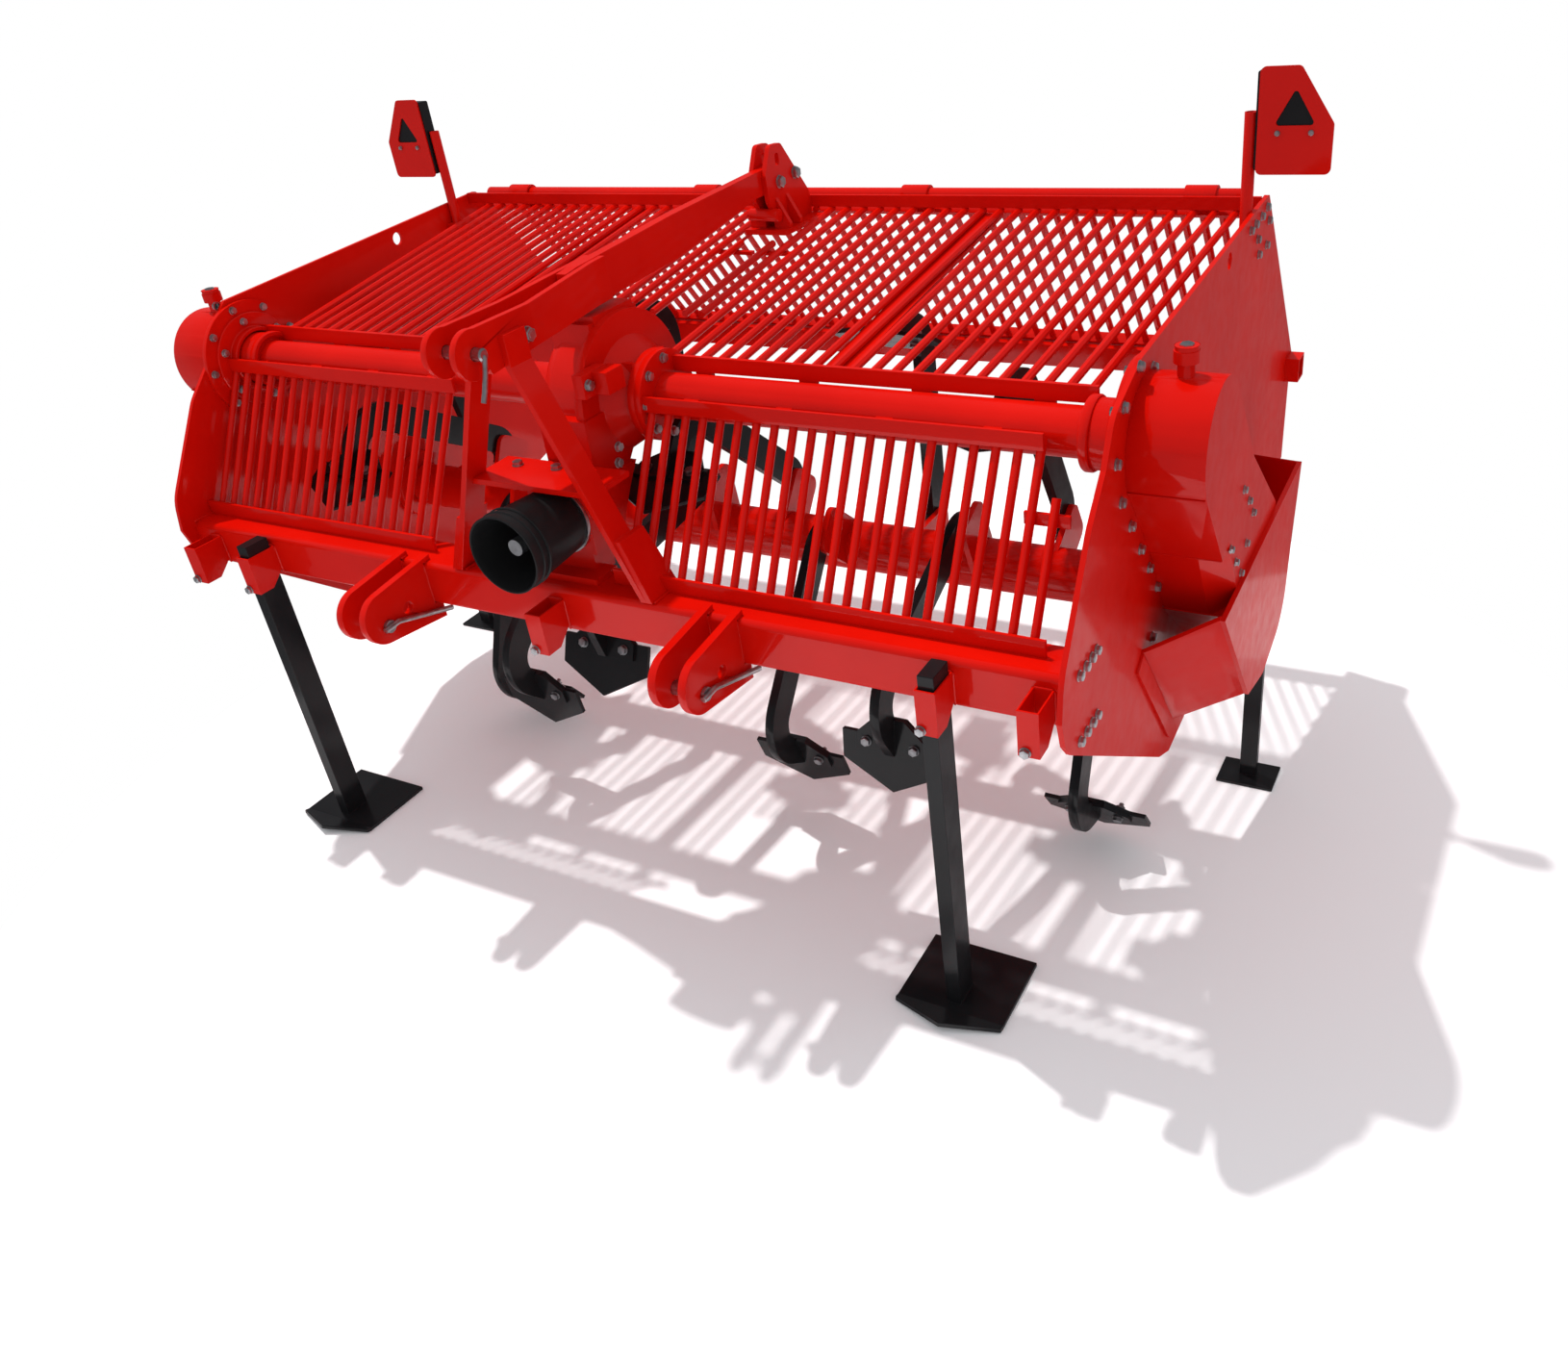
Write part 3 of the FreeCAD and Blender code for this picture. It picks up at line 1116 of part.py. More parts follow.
# Guards: keep feet away from the ends of the rotor, and hide the rear leg sockets.
guard = sub_part("guard_right", ready_made("guard_right_welded", guard_shape()))
mirrored("guard_left", guard)

# Rotor: a tube with a journal at each end, running in bearing rings on the side plates.
tube_half = outer_x - size("rotor_end_gap")
rotor_centre = (0, size("rotor_y"), size("rotor_z"))
tube_r, journal_r = size("rotor_tube_radius"), size("journal_radius")
rotor_tube = revolved("X", rotor_centre, [
    (1 - outer_x, 0), (1 - outer_x, journal_r), (-tube_half, journal_r), (-tube_half, tube_r),
    (tube_half, tube_r), (tube_half, journal_r), (outer_x - 1, journal_r), (outer_x - 1, 0)])
sub_part("rotor_tube", ready_made("rotor_tube_turned", rotor_tube))
ring_start = outer_x - size("bearing_thickness")
bearing_bore = journal_r + size("journal_clearance")
bearing = revolved("X", rotor_centre, [
    (ring_start, bearing_bore), (ring_start, size("bearing_radius")), (outer_x, size("bearing_radius")),
    (outer_x, bearing_bore)])
sub_part("rotor_bearings", ready_made("rotor_bearing_pair", both_sides(bearing)))

ARMS = (
    (-1000, 100), (-830, 150), (-657, 247), (-440, 219), (-255, 90), (-70, 187), (115, 140), (297, 230),
    (470, 90), (641, 202), (820, 120), (995, 247))


def spade_centre():
    """The distance of a spade's middle from the rotor's axis, so that its point just keeps to the reach."""
    lean = math.radians(size("spade_lean"))
    point = size("spade_point")
    return math.sqrt(size("tool_reach") ** 2 - (point * math.sin(lean)) ** 2) - point * math.cos(lean)


def arm_shape():
    """One curved arm that points along +Y: out from the bracket, round, and in behind the spade."""
    half = size("arm_width") / 2
    thick = size("arm_thickness")
    offset, root, bend = size("arm_offset"), size("arm_root_radius"), size("arm_bend_radius")
    lean = math.radians(size("spade_lean"))
    along = (math.cos(lean), math.sin(lean))
    normal = (math.sin(lean), -math.cos(lean))
    middle = spade_centre()

    def on_blade(place, lift):
        lift += size("spade_thickness") / 2
        return (middle + place * along[0] + lift * normal[0], place * along[1] + lift * normal[1])

    above = size("spade_above")
    tip = size("spade_seat") - above
    reach = size("arm_reach")
    outline = [(-half, -size("arm_start")), (-half, -offset - half, root + half), (reach, -offset - half, bend + half),
               on_blade(tip, size("arm_tip_width")), on_blade(tip, 0), on_blade(-above, 0),
               (reach - 2 * half, -offset + half, bend - half), (half, -offset + half, root - half),
               (half, -size("arm_start"))]
    return slab(outline, "X", -thick / 2, thick)


def bracket_shape():
    """The plate that holds one arm beside it, welded to the rotor tube."""
    half = size("bracket_width") / 2
    reach = size("bracket_reach")
    outline = [(-half, 0), (-half, -reach, 25), (half, -reach, 25), (half, 0)]
    tube = Part.makeCylinder(tube_r, 200, Vector(-100, 0, 0), Vector(1, 0, 0))
    return slab(outline, "X", size("arm_thickness") / 2, size("bracket_thickness")).cut(tube)


def against_spade(outline, lift, thickness):
    """A plate lying along a spade, drawn with the spade's bolts on the line y = 0 and its point along +Y."""
    piece = slab(outline, "Z", lift, thickness)
    piece.rotate(Vector(), Vector(1, 0, 0), size("spade_lean"))
    piece.translate(Vector(0, spade_centre(), 0))
    return piece


def spade_shape():
    """One flat pointed blade with a raised crown, its point leading."""
    half, crown, flank = size("spade_width") / 2, size("spade_crown") / 2, size("foot_plate_width") / 2
    above, wing = size("spade_above"), size("spade_wing")
    shoulder, point, thick = size("spade_shoulder"), size("spade_point"), size("spade_thickness")
    return against_spade([(-half, -wing), (-flank, -wing), (-crown, -above), (crown, -above), (flank, -wing),
                          (half, -wing), (half, shoulder), (0, point), (-half, shoulder)], -thick / 2, thick)


def foot_plate_shape():
    """The plate on an arm's end that the blade is bolted to, on the outer side of the blade."""
    crown, flank = size("spade_crown") / 2, size("foot_plate_width") / 2
    above, wing = size("spade_above"), size("spade_wing")
    thick = size("foot_plate_thickness")
    return against_spade([(-flank, -wing), (-crown, -above), (crown, -above), (flank, -wing), (flank, wing + 8),
                          (-flank, wing + 8)], -size("spade_thickness") / 2 - thick, thick)


def around_rotor(shape):
    """Copies of one piece at every arm's place and angle."""
    copies = []
    for along_x, angle in ARMS:
        piece = shape.copy()
        piece.rotate(Vector(), Vector(1, 0, 0), angle)
        piece.translate(Vector(along_x, size("rotor_y"), size("rotor_z")))
        copies.append(piece)
    return Part.makeCompound(copies)


# Arms, their brackets and the spades: set along the rotor at staggered angles.
sub_part("rotor_brackets", ready_made("rotor_bracket_set", around_rotor(bracket_shape())))
arm = arm_shape().fuse(foot_plate_shape())
sub_part("spade_arms", ready_made("spade_arm_set", around_rotor(arm)))
sub_part("spades", ready_made("spade_set", around_rotor(spade_shape())))

# Check every object, then write one file for each sub-part.
doc.recompute()
for item in doc.Objects:
    if "Invalid" in item.State or "Error" in item.State:
        raise RuntimeError(f"{item.Label}: {item.State}")
for item in parts:
    if item.Shape.isNull() or not item.Shape.isValid():
        raise RuntimeError(f"{item.Label}: no valid shape")
os.makedirs("parts", exist_ok=True)
for item in parts:
    item.Shape.exportStep(f"parts/{item.Label}.step")
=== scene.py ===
import math

import bmesh
import bpy
from mathutils import Matrix, Vector


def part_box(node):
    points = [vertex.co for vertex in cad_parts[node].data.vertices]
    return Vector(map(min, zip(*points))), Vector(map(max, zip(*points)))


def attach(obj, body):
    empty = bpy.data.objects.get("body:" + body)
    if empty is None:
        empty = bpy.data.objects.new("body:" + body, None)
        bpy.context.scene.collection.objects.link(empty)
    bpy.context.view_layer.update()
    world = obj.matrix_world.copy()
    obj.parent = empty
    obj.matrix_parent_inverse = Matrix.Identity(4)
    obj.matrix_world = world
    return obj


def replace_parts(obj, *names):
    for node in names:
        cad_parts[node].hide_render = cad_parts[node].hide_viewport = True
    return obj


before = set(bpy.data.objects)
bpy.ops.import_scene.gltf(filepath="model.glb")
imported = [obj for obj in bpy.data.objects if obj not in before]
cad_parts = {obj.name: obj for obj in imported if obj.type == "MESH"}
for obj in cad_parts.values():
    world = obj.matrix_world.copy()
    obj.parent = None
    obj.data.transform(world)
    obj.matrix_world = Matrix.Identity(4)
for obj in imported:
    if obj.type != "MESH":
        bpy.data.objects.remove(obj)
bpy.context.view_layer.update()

# The yard: a pale floor that runs off to white under an even sky, and one sun behind the left shoulder.
# The camera stands off the machine's front right-hand corner, above head height, and leans a little.
FRAME_WIDE, FRAME_HIGH, SENSOR_WIDE = 1630, 1400, 36
FOCAL_LENGTH, AXIS_ACROSS, AXIS_DOWN = 1320.92, 901.51, 681.46
STAND_AT = (1.7590, -2.4094, 1.9745)
YAW, PITCH, ROLL = 30.8986, -31.0748, -6.6597
SUN_WAY = (0.44, -0.20, -1.0)
FLOOR_REACH, FLOOR_RIGHT, FLOOR_BACK = 2.0, 0.3, -0.35

scene = bpy.context.scene
scene.view_settings.view_transform = "Standard"

camera = bpy.data.cameras.new("camera")
camera.sensor_width = SENSOR_WIDE
camera.lens = FOCAL_LENGTH * SENSOR_WIDE / FRAME_WIDE
camera.shift_x = (FRAME_WIDE / 2 - AXIS_ACROSS) / FRAME_WIDE
camera.shift_y = (AXIS_DOWN - FRAME_HIGH / 2) / FRAME_WIDE
camera.clip_end = 200
yaw, pitch, roll = (math.radians(angle) for angle in (YAW, PITCH, ROLL))
forward = Vector((-math.sin(yaw) * math.cos(pitch), math.cos(yaw) * math.cos(pitch), math.sin(pitch)))
level = Vector((math.cos(yaw), math.sin(yaw), 0))
upright = level.cross(forward)
right = level * math.cos(roll) + upright * math.sin(roll)
up = upright * math.cos(roll) - level * math.sin(roll)
stand = bpy.data.objects.new("camera", camera)
turn = Matrix((right, up, -forward)).transposed()
stand.matrix_world = Matrix.Translation(STAND_AT) @ turn.to_4x4()
scene.collection.objects.link(stand)
scene.camera = stand

sun = bpy.data.lights.new("sun", "SUN")
sun.energy = 2.7
sun.angle = math.radians(1.6)
sun.color = (1.0, 0.985, 0.97)
sun_holder = bpy.data.objects.new("sun", sun)
sun_holder.visible_glossy = False
sun_holder.rotation_euler = Vector(SUN_WAY).to_track_quat("-Z", "Y").to_euler()
scene.collection.objects.link(sun_holder)


def background(tree, colour, strength):
    """One sky colour."""
    made = tree.nodes.new("ShaderNodeBackground")
    made.inputs["Color"].default_value = (*colour, 1)
    made.inputs["Strength"].default_value = strength
    return made


def ramp_between(tree, low, high):
    """A colour ramp between two stops, each a place and a colour."""
    made = tree.nodes.new("ShaderNodeValToRGB")
    for stop, (place, colour) in zip(made.color_ramp.elements, (low, high)):
        stop.position = place
        stop.color = (*colour, 1)
    return made


world = bpy.data.worlds.new("sky")
scene.world = world
world.use_nodes = True
sky = world.node_tree
sky.nodes.clear()
lit = background(sky, (0.96, 0.975, 1.0), 0.80)
white = background(sky, (1, 1, 1), 1.0)
mirrored = background(sky, (1, 1, 1), 1.0)
outwards = sky.nodes.new("ShaderNodeTexCoord")
height = sky.nodes.new("ShaderNodeSeparateXYZ")
fade = ramp_between(sky, (0.0, (0.30, 0.30, 0.31)), (0.16, (0.22, 0.22, 0.23)))
rays = sky.nodes.new("ShaderNodeLightPath")
bounced = sky.nodes.new("ShaderNodeMixShader")
seen = sky.nodes.new("ShaderNodeMixShader")
sky_out = sky.nodes.new("ShaderNodeOutputWorld")
sky.links.new(outwards.outputs["Generated"], height.inputs["Vector"])
sky.links.new(height.outputs["Z"], fade.inputs["Fac"])
sky.links.new(fade.outputs["Color"], mirrored.inputs["Color"])
for ray, mix, below, above in (("Is Glossy Ray", bounced, lit, mirrored), ("Is Camera Ray", seen, bounced, white)):
    sky.links.new(rays.outputs[ray], mix.inputs["Fac"])
    sky.links.new(below.outputs[0], mix.inputs[1])
    sky.links.new(above.outputs[0], mix.inputs[2])
sky.links.new(seen.outputs[0], sky_out.inputs["Surface"])

ground_mesh = bpy.data.meshes.new("ground")
rim = [math.radians(4 * k) for k in range(90)]
ground_mesh.from_pydata(
    [(FLOOR_REACH * math.cos(a) + FLOOR_RIGHT, FLOOR_REACH * math.sin(a) + FLOOR_BACK, 0) for a in rim],
    [], [tuple(range(len(rim)))])
ground = bpy.data.objects.new("ground", ground_mesh)
scene.collection.objects.link(ground)
ground_paint = bpy.data.materials.new("pale_floor")
ground_paint.use_nodes = True
floor_shader = ground_paint.node_tree.nodes["Principled BSDF"]
floor_shader.inputs["Base Color"].default_value = (0.90, 0.89, 0.90, 1)
floor_shader.inputs["Roughness"].default_value = 0.9
floor_shader.inputs["Specular IOR Level"].default_value = 0.0
floor_shader.inputs["Emission Color"].default_value = (0.96, 0.97, 1.0, 1)
floor_shader.inputs["Emission Strength"].default_value = 0.05
ground_mesh.materials.append(ground_paint)

# Red frame: laser-cut plate, box section, tube and bar, welded and then sprayed a glossy bright red.
# The paint has a fine orange-peel skin, drifts a little in depth and gathers faint dust.
RED_DEEP, RED_BRIGHT = (0.56, 0.0030, 0.0006), (0.65, 0.0050, 0.0010)


def noise(tree, scale, detail):
    """Cloudy variation that stays with the piece."""
    where = tree.nodes.new("ShaderNodeTexCoord")
    made = tree.nodes.new("ShaderNodeTexNoise")
    made.inputs["Scale"].default_value = scale
    made.inputs["Detail"].default_value = detail
    tree.links.new(where.outputs["Object"], made.inputs["Vector"])
    return made


def relief(tree, grain, strength, distance):
    """Fine relief from one grain of noise."""
    made = tree.nodes.new("ShaderNodeBump")
    made.inputs["Strength"].default_value = strength
    made.inputs["Distance"].default_value = distance
    tree.links.new(grain.outputs["Fac"], made.inputs["Height"])
    return made


def roughness_from(tree, cloud, low, high, least=0.0, most=1.0):
    """Gloss that varies between two roughnesses as the cloud goes from least to most."""
    made = tree.nodes.new("ShaderNodeMapRange")
    for socket, value in (("From Min", least), ("From Max", most), ("To Min", low), ("To Max", high)):
        made.inputs[socket].default_value = value
    tree.links.new(cloud.outputs["Fac"], made.inputs["Value"])
    return made


def finish(name, slot):
    """A new finish for one of the record's material slots, with its shader."""
    made = bpy.data.materials.new(name)
    made["slot"] = slot
    made.use_nodes = True
    return made, made.node_tree, made.node_tree.nodes["Principled BSDF"]


def paint(name, slot, deep, bright, gloss, coat, peel, grain=330):
    """Sprayed paint: its colour drifts a little, and its surface has orange peel and faint dust."""
    made, tree, shader = finish(name, slot)
    shader.inputs["Specular IOR Level"].default_value = 0.04
    shader.inputs["Coat Weight"].default_value = coat
    shader.inputs["Coat IOR"].default_value = 2.4
    shader.inputs["Coat Roughness"].default_value = 0.03
    drift = noise(tree, 3.5, 5)
    depth = ramp_between(tree, (0.3, deep), (0.7, bright))
    dusty = roughness_from(tree, noise(tree, 28, 8), gloss, gloss + 0.12, 0.35, 0.75)
    skin = relief(tree, noise(tree, grain, 2), peel, 0.001)
    tree.links.new(drift.outputs["Fac"], depth.inputs["Fac"])
    tree.links.new(depth.outputs["Color"], shader.inputs["Base Color"])
    tree.links.new(dusty.outputs["Result"], shader.inputs["Roughness"])
    tree.links.new(skin.outputs["Normal"], shader.inputs["Normal"])
    tree.links.new(skin.outputs["Normal"], shader.inputs["Coat Normal"])
    return made


def finish_node(node, material, edge=0.0011):
    """Give a frame part its finish, and take the sharpness off its edges as grit blasting and paint do."""
    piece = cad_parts[node]
    piece.data.materials.clear()
    piece.data.materials.append(material)
    join = piece.modifiers.new("join", "WELD")
    join.merge_threshold = 0.00002
    soft = piece.modifiers.new("soft_edges", "BEVEL")
    soft.width = edge
    soft.segments = 2
    soft.limit_method = "ANGLE"
    soft.angle_limit = math.radians(48)
    soft.harden_normals = True


red_paint = paint("red_paint", "red_paint", RED_DEEP, RED_BRIGHT, 0.34, 0.12, 0.05)
for name in (
        "front_beam", "rear_beam", "side_plate_right", "side_plate_left", "leg_sockets",
        "rear_leg_socket_right", "rear_leg_socket_left", "hitch_plates_right", "hitch_plates_left",
        "cross_tube_right", "cross_tube_left", "headstock_brace_right", "headstock_brace_left",
        "headstock_shelf", "headstock_beam", "top_link_arm_right", "top_link_arm_left", "top_link_spacer",
        "tower", "top_grille_right", "top_grille_left", "front_grille_right", "front_grille_left",
        "rear_tube", "rear_hood", "side_case_right", "side_case_left", "guard_right", "guard_left",
        "rotor_tube", "rotor_bearings", "rotor_brackets", "reflector_boards", "reflector_posts"):
    finish_node(name, red_paint)

# Plate bolts: zinc-plated hexagon bolts with chamfered heads on flat washers, through the side plates.
# The plating is bright grey with a faint patchy bloom, and a shallow ring is pressed into each head.
# The left plate starts further back, so its two foremost bolts of each row are left out.
REAR_CORNER = (
    (1190, 1296), (1140, 1288), (1215, 1262), (1085, 1285), (1042, 1282), (1112, 1247), (1203, 1212), (1130, 1210))
FRONT_ROWS = tuple((y, z) for z in (838, 706) for y in (48, 22, -7, -38))
HEAD_SMOOTH = math.radians(25)
RIGHT, LEFT, FRONT, BACK, UP, DOWN = (
    Vector(way) for way in ((1, 0, 0), (-1, 0, 0), (0, -1, 0), (0, 1, 0), (0, 0, 1), (0, 0, -1)))
SIDES = ((1, "right", RIGHT), (-1, "left", LEFT))

beam_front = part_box("front_beam")[0].y
plate_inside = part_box("side_plate_right")[0].x * 1000
plate_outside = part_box("side_plate_right")[1].x * 1000


def at(x, y, z):
    """A place in millimetres: across, back from the front beam's face, and up from the floor."""
    return Vector((x / 1000, y / 1000 + beam_front, z / 1000))


def around(centre, radius, first, step, count):
    """Places on a bolt circle in the lengthwise plane, as back and up in millimetres."""
    angles = [math.radians(first + step * k) for k in range(count)]
    return [(centre[0] + radius * math.cos(angle), centre[1] + radius * math.sin(angle)) for angle in angles]


def piece_from(name, mesh, material, body="frame", smooth=math.radians(35)):
    """A finished piece from mesh data, shaded smooth apart from its sharp edges, on one body."""
    data = bpy.data.meshes.new(name)
    mesh.to_mesh(data)
    mesh.free()
    data.materials.append(material)
    data.shade_smooth()
    data.set_sharp_from_angle(angle=smooth)
    piece = bpy.data.objects.new(name, data)
    scene.collection.objects.link(piece)
    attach(piece, body)
    return piece


def turned(mesh, profile, foot, out, sides=32):
    """Add a turned form: profile gives (radius, height) pairs along out from foot, in millimetres."""
    lay = Matrix.Translation(foot) @ Vector(out).to_track_quat("Z", "Y").to_matrix().to_4x4()
    angles = [2 * math.pi * (k + 0.5) / sides for k in range(sides)]
    rings = []
    for radius, rise in profile:
        places = [(radius / 1000 * math.cos(angle), radius / 1000 * math.sin(angle)) for angle in angles]
        if radius == 0:
            places = [(0, 0)]
        rings.append([mesh.verts.new(lay @ Vector((x, y, rise / 1000))) for x, y in places])
    for low, high in zip(rings, rings[1:]):
        for k in range(sides):
            corners = [low[k % len(low)], low[(k + 1) % len(low)], high[(k + 1) % len(high)], high[k % len(high)]]
            corners = list(dict.fromkeys(corners))
            if len(corners) > 2:
                mesh.faces.new(corners)


def hex_bolt(mesh, foot, out, across=17, stud=0):
    """Add one hexagon head on its washer; a stud makes it a nut with the bolt's end standing out."""
    corner = across / math.sqrt(3)
    washer = 2.2
    top = washer + across * 0.42
    turned(mesh, [(across * 0.52, 0), (across * 0.64, 0), (across * 0.64, washer - 0.5), (across * 0.6, washer),
                  (across * 0.4, washer)], foot, out, 20)
    turned(mesh, [(corner, washer), (corner, washer + across * 0.42 * 0.82), (corner * 0.84, top), (0, top)],
           foot, out, 6)
    if stud:
        bore = across * 0.3
        turned(mesh, [(bore, top - 0.5), (bore, top + stud - 1.5), (bore - 1.5, top + stud), (0, top + stud)],
               foot, out, 14)
    else:
        turned(mesh, [(corner * 0.55, top), (corner * 0.5, top + 0.5), (0, top + 0.5)], foot, out, 14)


def bolts(name, places, out, across=17, stud=0):
    """A set of like bolts on one joint of the frame, all pointing one way."""
    mesh = bmesh.new()
    for place in places:
        hex_bolt(mesh, at(*place), out, across, stud)
    piece_from(name, mesh, zinc, smooth=HEAD_SMOOTH)


def plated(name, dark, pale, rough):
    """Plated or ground steel: patchy brightness and fine scratches along the work."""
    made, tree, shader = finish(name, "grey_steel")
    shader.inputs["Metallic"].default_value = 1.0
    patches = noise(tree, 60, 7)
    shades = ramp_between(tree, (0.3, dark), (0.7, pale))
    worn = roughness_from(tree, patches, rough, rough + 0.2)
    scratches = relief(tree, noise(tree, 900, 3), 0.15, 0.0004)
    tree.links.new(patches.outputs["Fac"], shades.inputs["Fac"])
    tree.links.new(shades.outputs["Color"], shader.inputs["Base Color"])
    tree.links.new(worn.outputs["Result"], shader.inputs["Roughness"])
    tree.links.new(scratches.outputs["Normal"], shader.inputs["Normal"])
    return made


zinc = plated("zinc_plate", (0.34, 0.34, 0.35), (0.56, 0.56, 0.58), 0.24)
for side, name, out in SIDES:
    bolts(f"plate_rear_bolts_{name}", [(side * plate_outside, y, z) for y, z in REAR_CORNER], out, across=15)
    bolts(f"plate_front_bolts_{name}",
          [(side * plate_outside, y, z) for y, z in FRONT_ROWS if side > 0 or y > 0], out, across=16)

# Welds: beads where sockets, hitch plates, braces, beams and brackets meet the beam and the plates.
# They are laid by hand with wire, so each is a row of small ripples, and they are painted with the frame.
BEAM_TOP = 800
SOCKET_MIDDLES, SOCKET_HALF, SOCKET_BEAD = (-1078, -887, 0, 887, 1078), 20.5, (702, 773)
HITCH_PLATE_SIDES, HITCH_BEAD, HITCH_LAP = (371, 437, 387, 454), (703, 797), (1, 21)
BRACE_SIDES, BRACE_BEAD = (246, 258), (3, 90)
INSIDE_BEADS = (((1518, 847.5), (1578, 847.5)), ((1517.5, 787), (1517.5, 847)))
OUTSIDE_BEADS = (((881, 520.5), (909, 520.5)), ((880, 446), (880, 520)))
BEAM_END_BEAD = (1, BEAM_TOP + 0.5), (98, BEAM_TOP + 0.5)
BEAD_SMOOTH = math.radians(80)


def weld(mesh, start, end, size, ripple=5.0):
    """Add one bead: a low rippled ridge from start to end."""
    run = end - start
    steps = max(2, round(run.length * 1000 / ripple) * 2)
    lay = run.to_track_quat("Z", "Y").to_matrix().to_4x4()
    angles = [math.pi * k / 3 for k in range(6)]
    rings = []
    for step in range(steps + 1):
        swell = 1.0 if step % 2 else 0.8
        if step in (0, steps):
            swell = 0.35
        base = Matrix.Translation(start + run * step / steps) @ lay
        reach = size * swell / 1000
        rings.append([mesh.verts.new(base @ Vector((reach * math.cos(angle), reach * math.sin(angle), 0)))
                      for angle in angles])
    for low, high in zip(rings, rings[1:]):
        for k in range(6):
            mesh.faces.new((low[k], low[(k + 1) % 6], high[(k + 1) % 6], high[k]))


def welds(name, runs, size):
    """A set of beads on the frame; each run is a start and an end in millimetres."""
    mesh = bmesh.new()
    for start, end in runs:
        weld(mesh, at(*start), at(*end), size)
    piece_from(name, mesh, red_paint, smooth=BEAD_SMOOTH)


runs = []
for middle in SOCKET_MIDDLES:
    for edge in (-SOCKET_HALF, SOCKET_HALF):
        runs.append(((middle + edge, 0, SOCKET_BEAD[0]), (middle + edge, 0, SOCKET_BEAD[1])))
    runs.append(((middle - 18, -1, 774), (middle + 18, -1, 774)))
welds("socket_welds", runs, 3.2)

runs = []
for side in (-1, 1):
    for x in HITCH_PLATE_SIDES:
        runs.append(((side * x, 0, HITCH_BEAD[0]), (side * x, 0, HITCH_BEAD[1])))
        runs.append(((side * x, HITCH_LAP[0], BEAM_TOP + 1), (side * x, HITCH_LAP[1], BEAM_TOP + 1)))
welds("hitch_plate_welds", runs, 3.2)

runs = [((side * x, BRACE_BEAD[0], BEAM_TOP + 1), (side * x, BRACE_BEAD[1], BEAM_TOP + 1))
        for side in (-1, 1) for x in BRACE_SIDES]
welds("brace_welds", runs, 3.5)

runs = []
for side in (-1, 1):
    for face, beads in (
            (plate_inside, INSIDE_BEADS), (plate_outside, OUTSIDE_BEADS), (plate_inside, [BEAM_END_BEAD])):
        runs.extend(((side * face, *start), (side * face, *end)) for start, end in beads)
welds("plate_welds", runs, 4.0)

# Cross tubes: flanged tubes that carry the drive from the gearbox out to the side cases.
# Each ends in two bolted rings on the side plate, a short sleeve and a raised collar.
SHAFT = 316, 1112
RING_PROFILE = ((60, -2), (113, -2), (113, 5), (111, 6.5), (80, 6.5), (78, 8), (78, 24), (76, 26), (70, 26),
                (68, 24), (68, 10))
COLLAR_PROFILE = (60, 60), (67, 61), (69, 64), (69, 76), (67, 79), (60, 80), (52, 72), (46, 72)
RING_THICK = 12
OUTER_RING, INNER_RING = (128, 20, 40, 9), (95, 35, 60, 6)
INNER_LIFT = 6.5
FLANGE_FACE, FLANGE_RING = 140, (78, 87, 45, 8)
ring_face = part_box("cross_tube_right")[1].x * 1000 - RING_THICK
for side, name, out in SIDES:
    inward = -out
    centre = at(side * ring_face, *SHAFT)
    mesh = bmesh.new()
    turned(mesh, RING_PROFILE, centre, inward, 72)
    turned(mesh, COLLAR_PROFILE, centre, inward, 64)
    piece_from(f"tube_end_collar_{name}", mesh, red_paint)
    for label, ring, lift in (("outer", OUTER_RING, 0), ("inner", INNER_RING, INNER_LIFT)):
        bolts(f"tube_end_{label}_bolts_{name}",
              [(side * (ring_face - lift), y, z) for y, z in around(SHAFT, *ring)], inward, across=15)
bolts("gearbox_flange_bolts_right", [(FLANGE_FACE, y, z) for y, z in around(SHAFT, *FLANGE_RING)], RIGHT)

# Front grilles: round bars behind two flat rails, sloping up from the beam to just under the cross tubes.
# Short straps tie the upper rail to the tube, and the outermost right bars end short on a cross piece.
BAR_PITCH, BAR_RADIUS = 42, 8.5
BAR_FOOT, BAR_TOP = (69, 808), (252, 1122)
RAIL_THICK = 8
LOWER_RAIL, LOWER_HEIGHT = 52, 34
UPPER_RAIL, UPPER_HEIGHTS = 230, (1106, 1138)
STRAPS, STRAP_HALF, STRAP_HEIGHTS = 4, 18, (1118, 1126)
STRAP_FRONT, STRAP_BACK = UPPER_RAIL + 6, 272
SHORT_SHARE, TIE_SHARE, TIE_IN, TIE_BACK, TIE_HALF = 0.72, 0.6, 24, (8, 16), 12


def rod(mesh, points, radius, sides=16):
    """Add a round bar through points, all in metres, with its ends closed; the radius is in millimetres."""
    ways = [(b - a).normalized() for a, b in zip(points, points[1:])]
    ways = [ways[0]] + [(a + b).normalized() for a, b in zip(ways, ways[1:])] + [ways[-1]]
    angles = [2 * math.pi * k / sides for k in range(sides)]
    aside = ways[0].orthogonal()
    rings = []
    for point, way in zip(points, ways):
        aside = (aside - way * aside.dot(way)).normalized()
        other = way.cross(aside)
        rings.append([mesh.verts.new(point + radius / 1000 * (aside * math.cos(angle) + other * math.sin(angle)))
                      for angle in angles])
    for low, high in zip(rings, rings[1:]):
        for k in range(sides):
            mesh.faces.new((low[k], low[(k + 1) % sides], high[(k + 1) % sides], high[k]))
    mesh.faces.new(rings[0][::-1])
    mesh.faces.new(rings[-1])


def plate(mesh, low, high, round_off=1.2):
    """Add a plate between two corners in millimetres, with its edges eased."""
    made = bmesh.ops.create_cube(mesh, size=1)["verts"]
    near, far = at(*low), at(*high)
    for corner in made:
        corner.co = Vector((near[i] if corner.co[i] < 0 else far[i]) for i in range(3))
    edges = list({edge for corner in made for edge in corner.link_edges})
    bmesh.ops.bevel(mesh, geom=edges, offset=round_off / 1000, segments=2, affect="EDGES", profile=0.6)


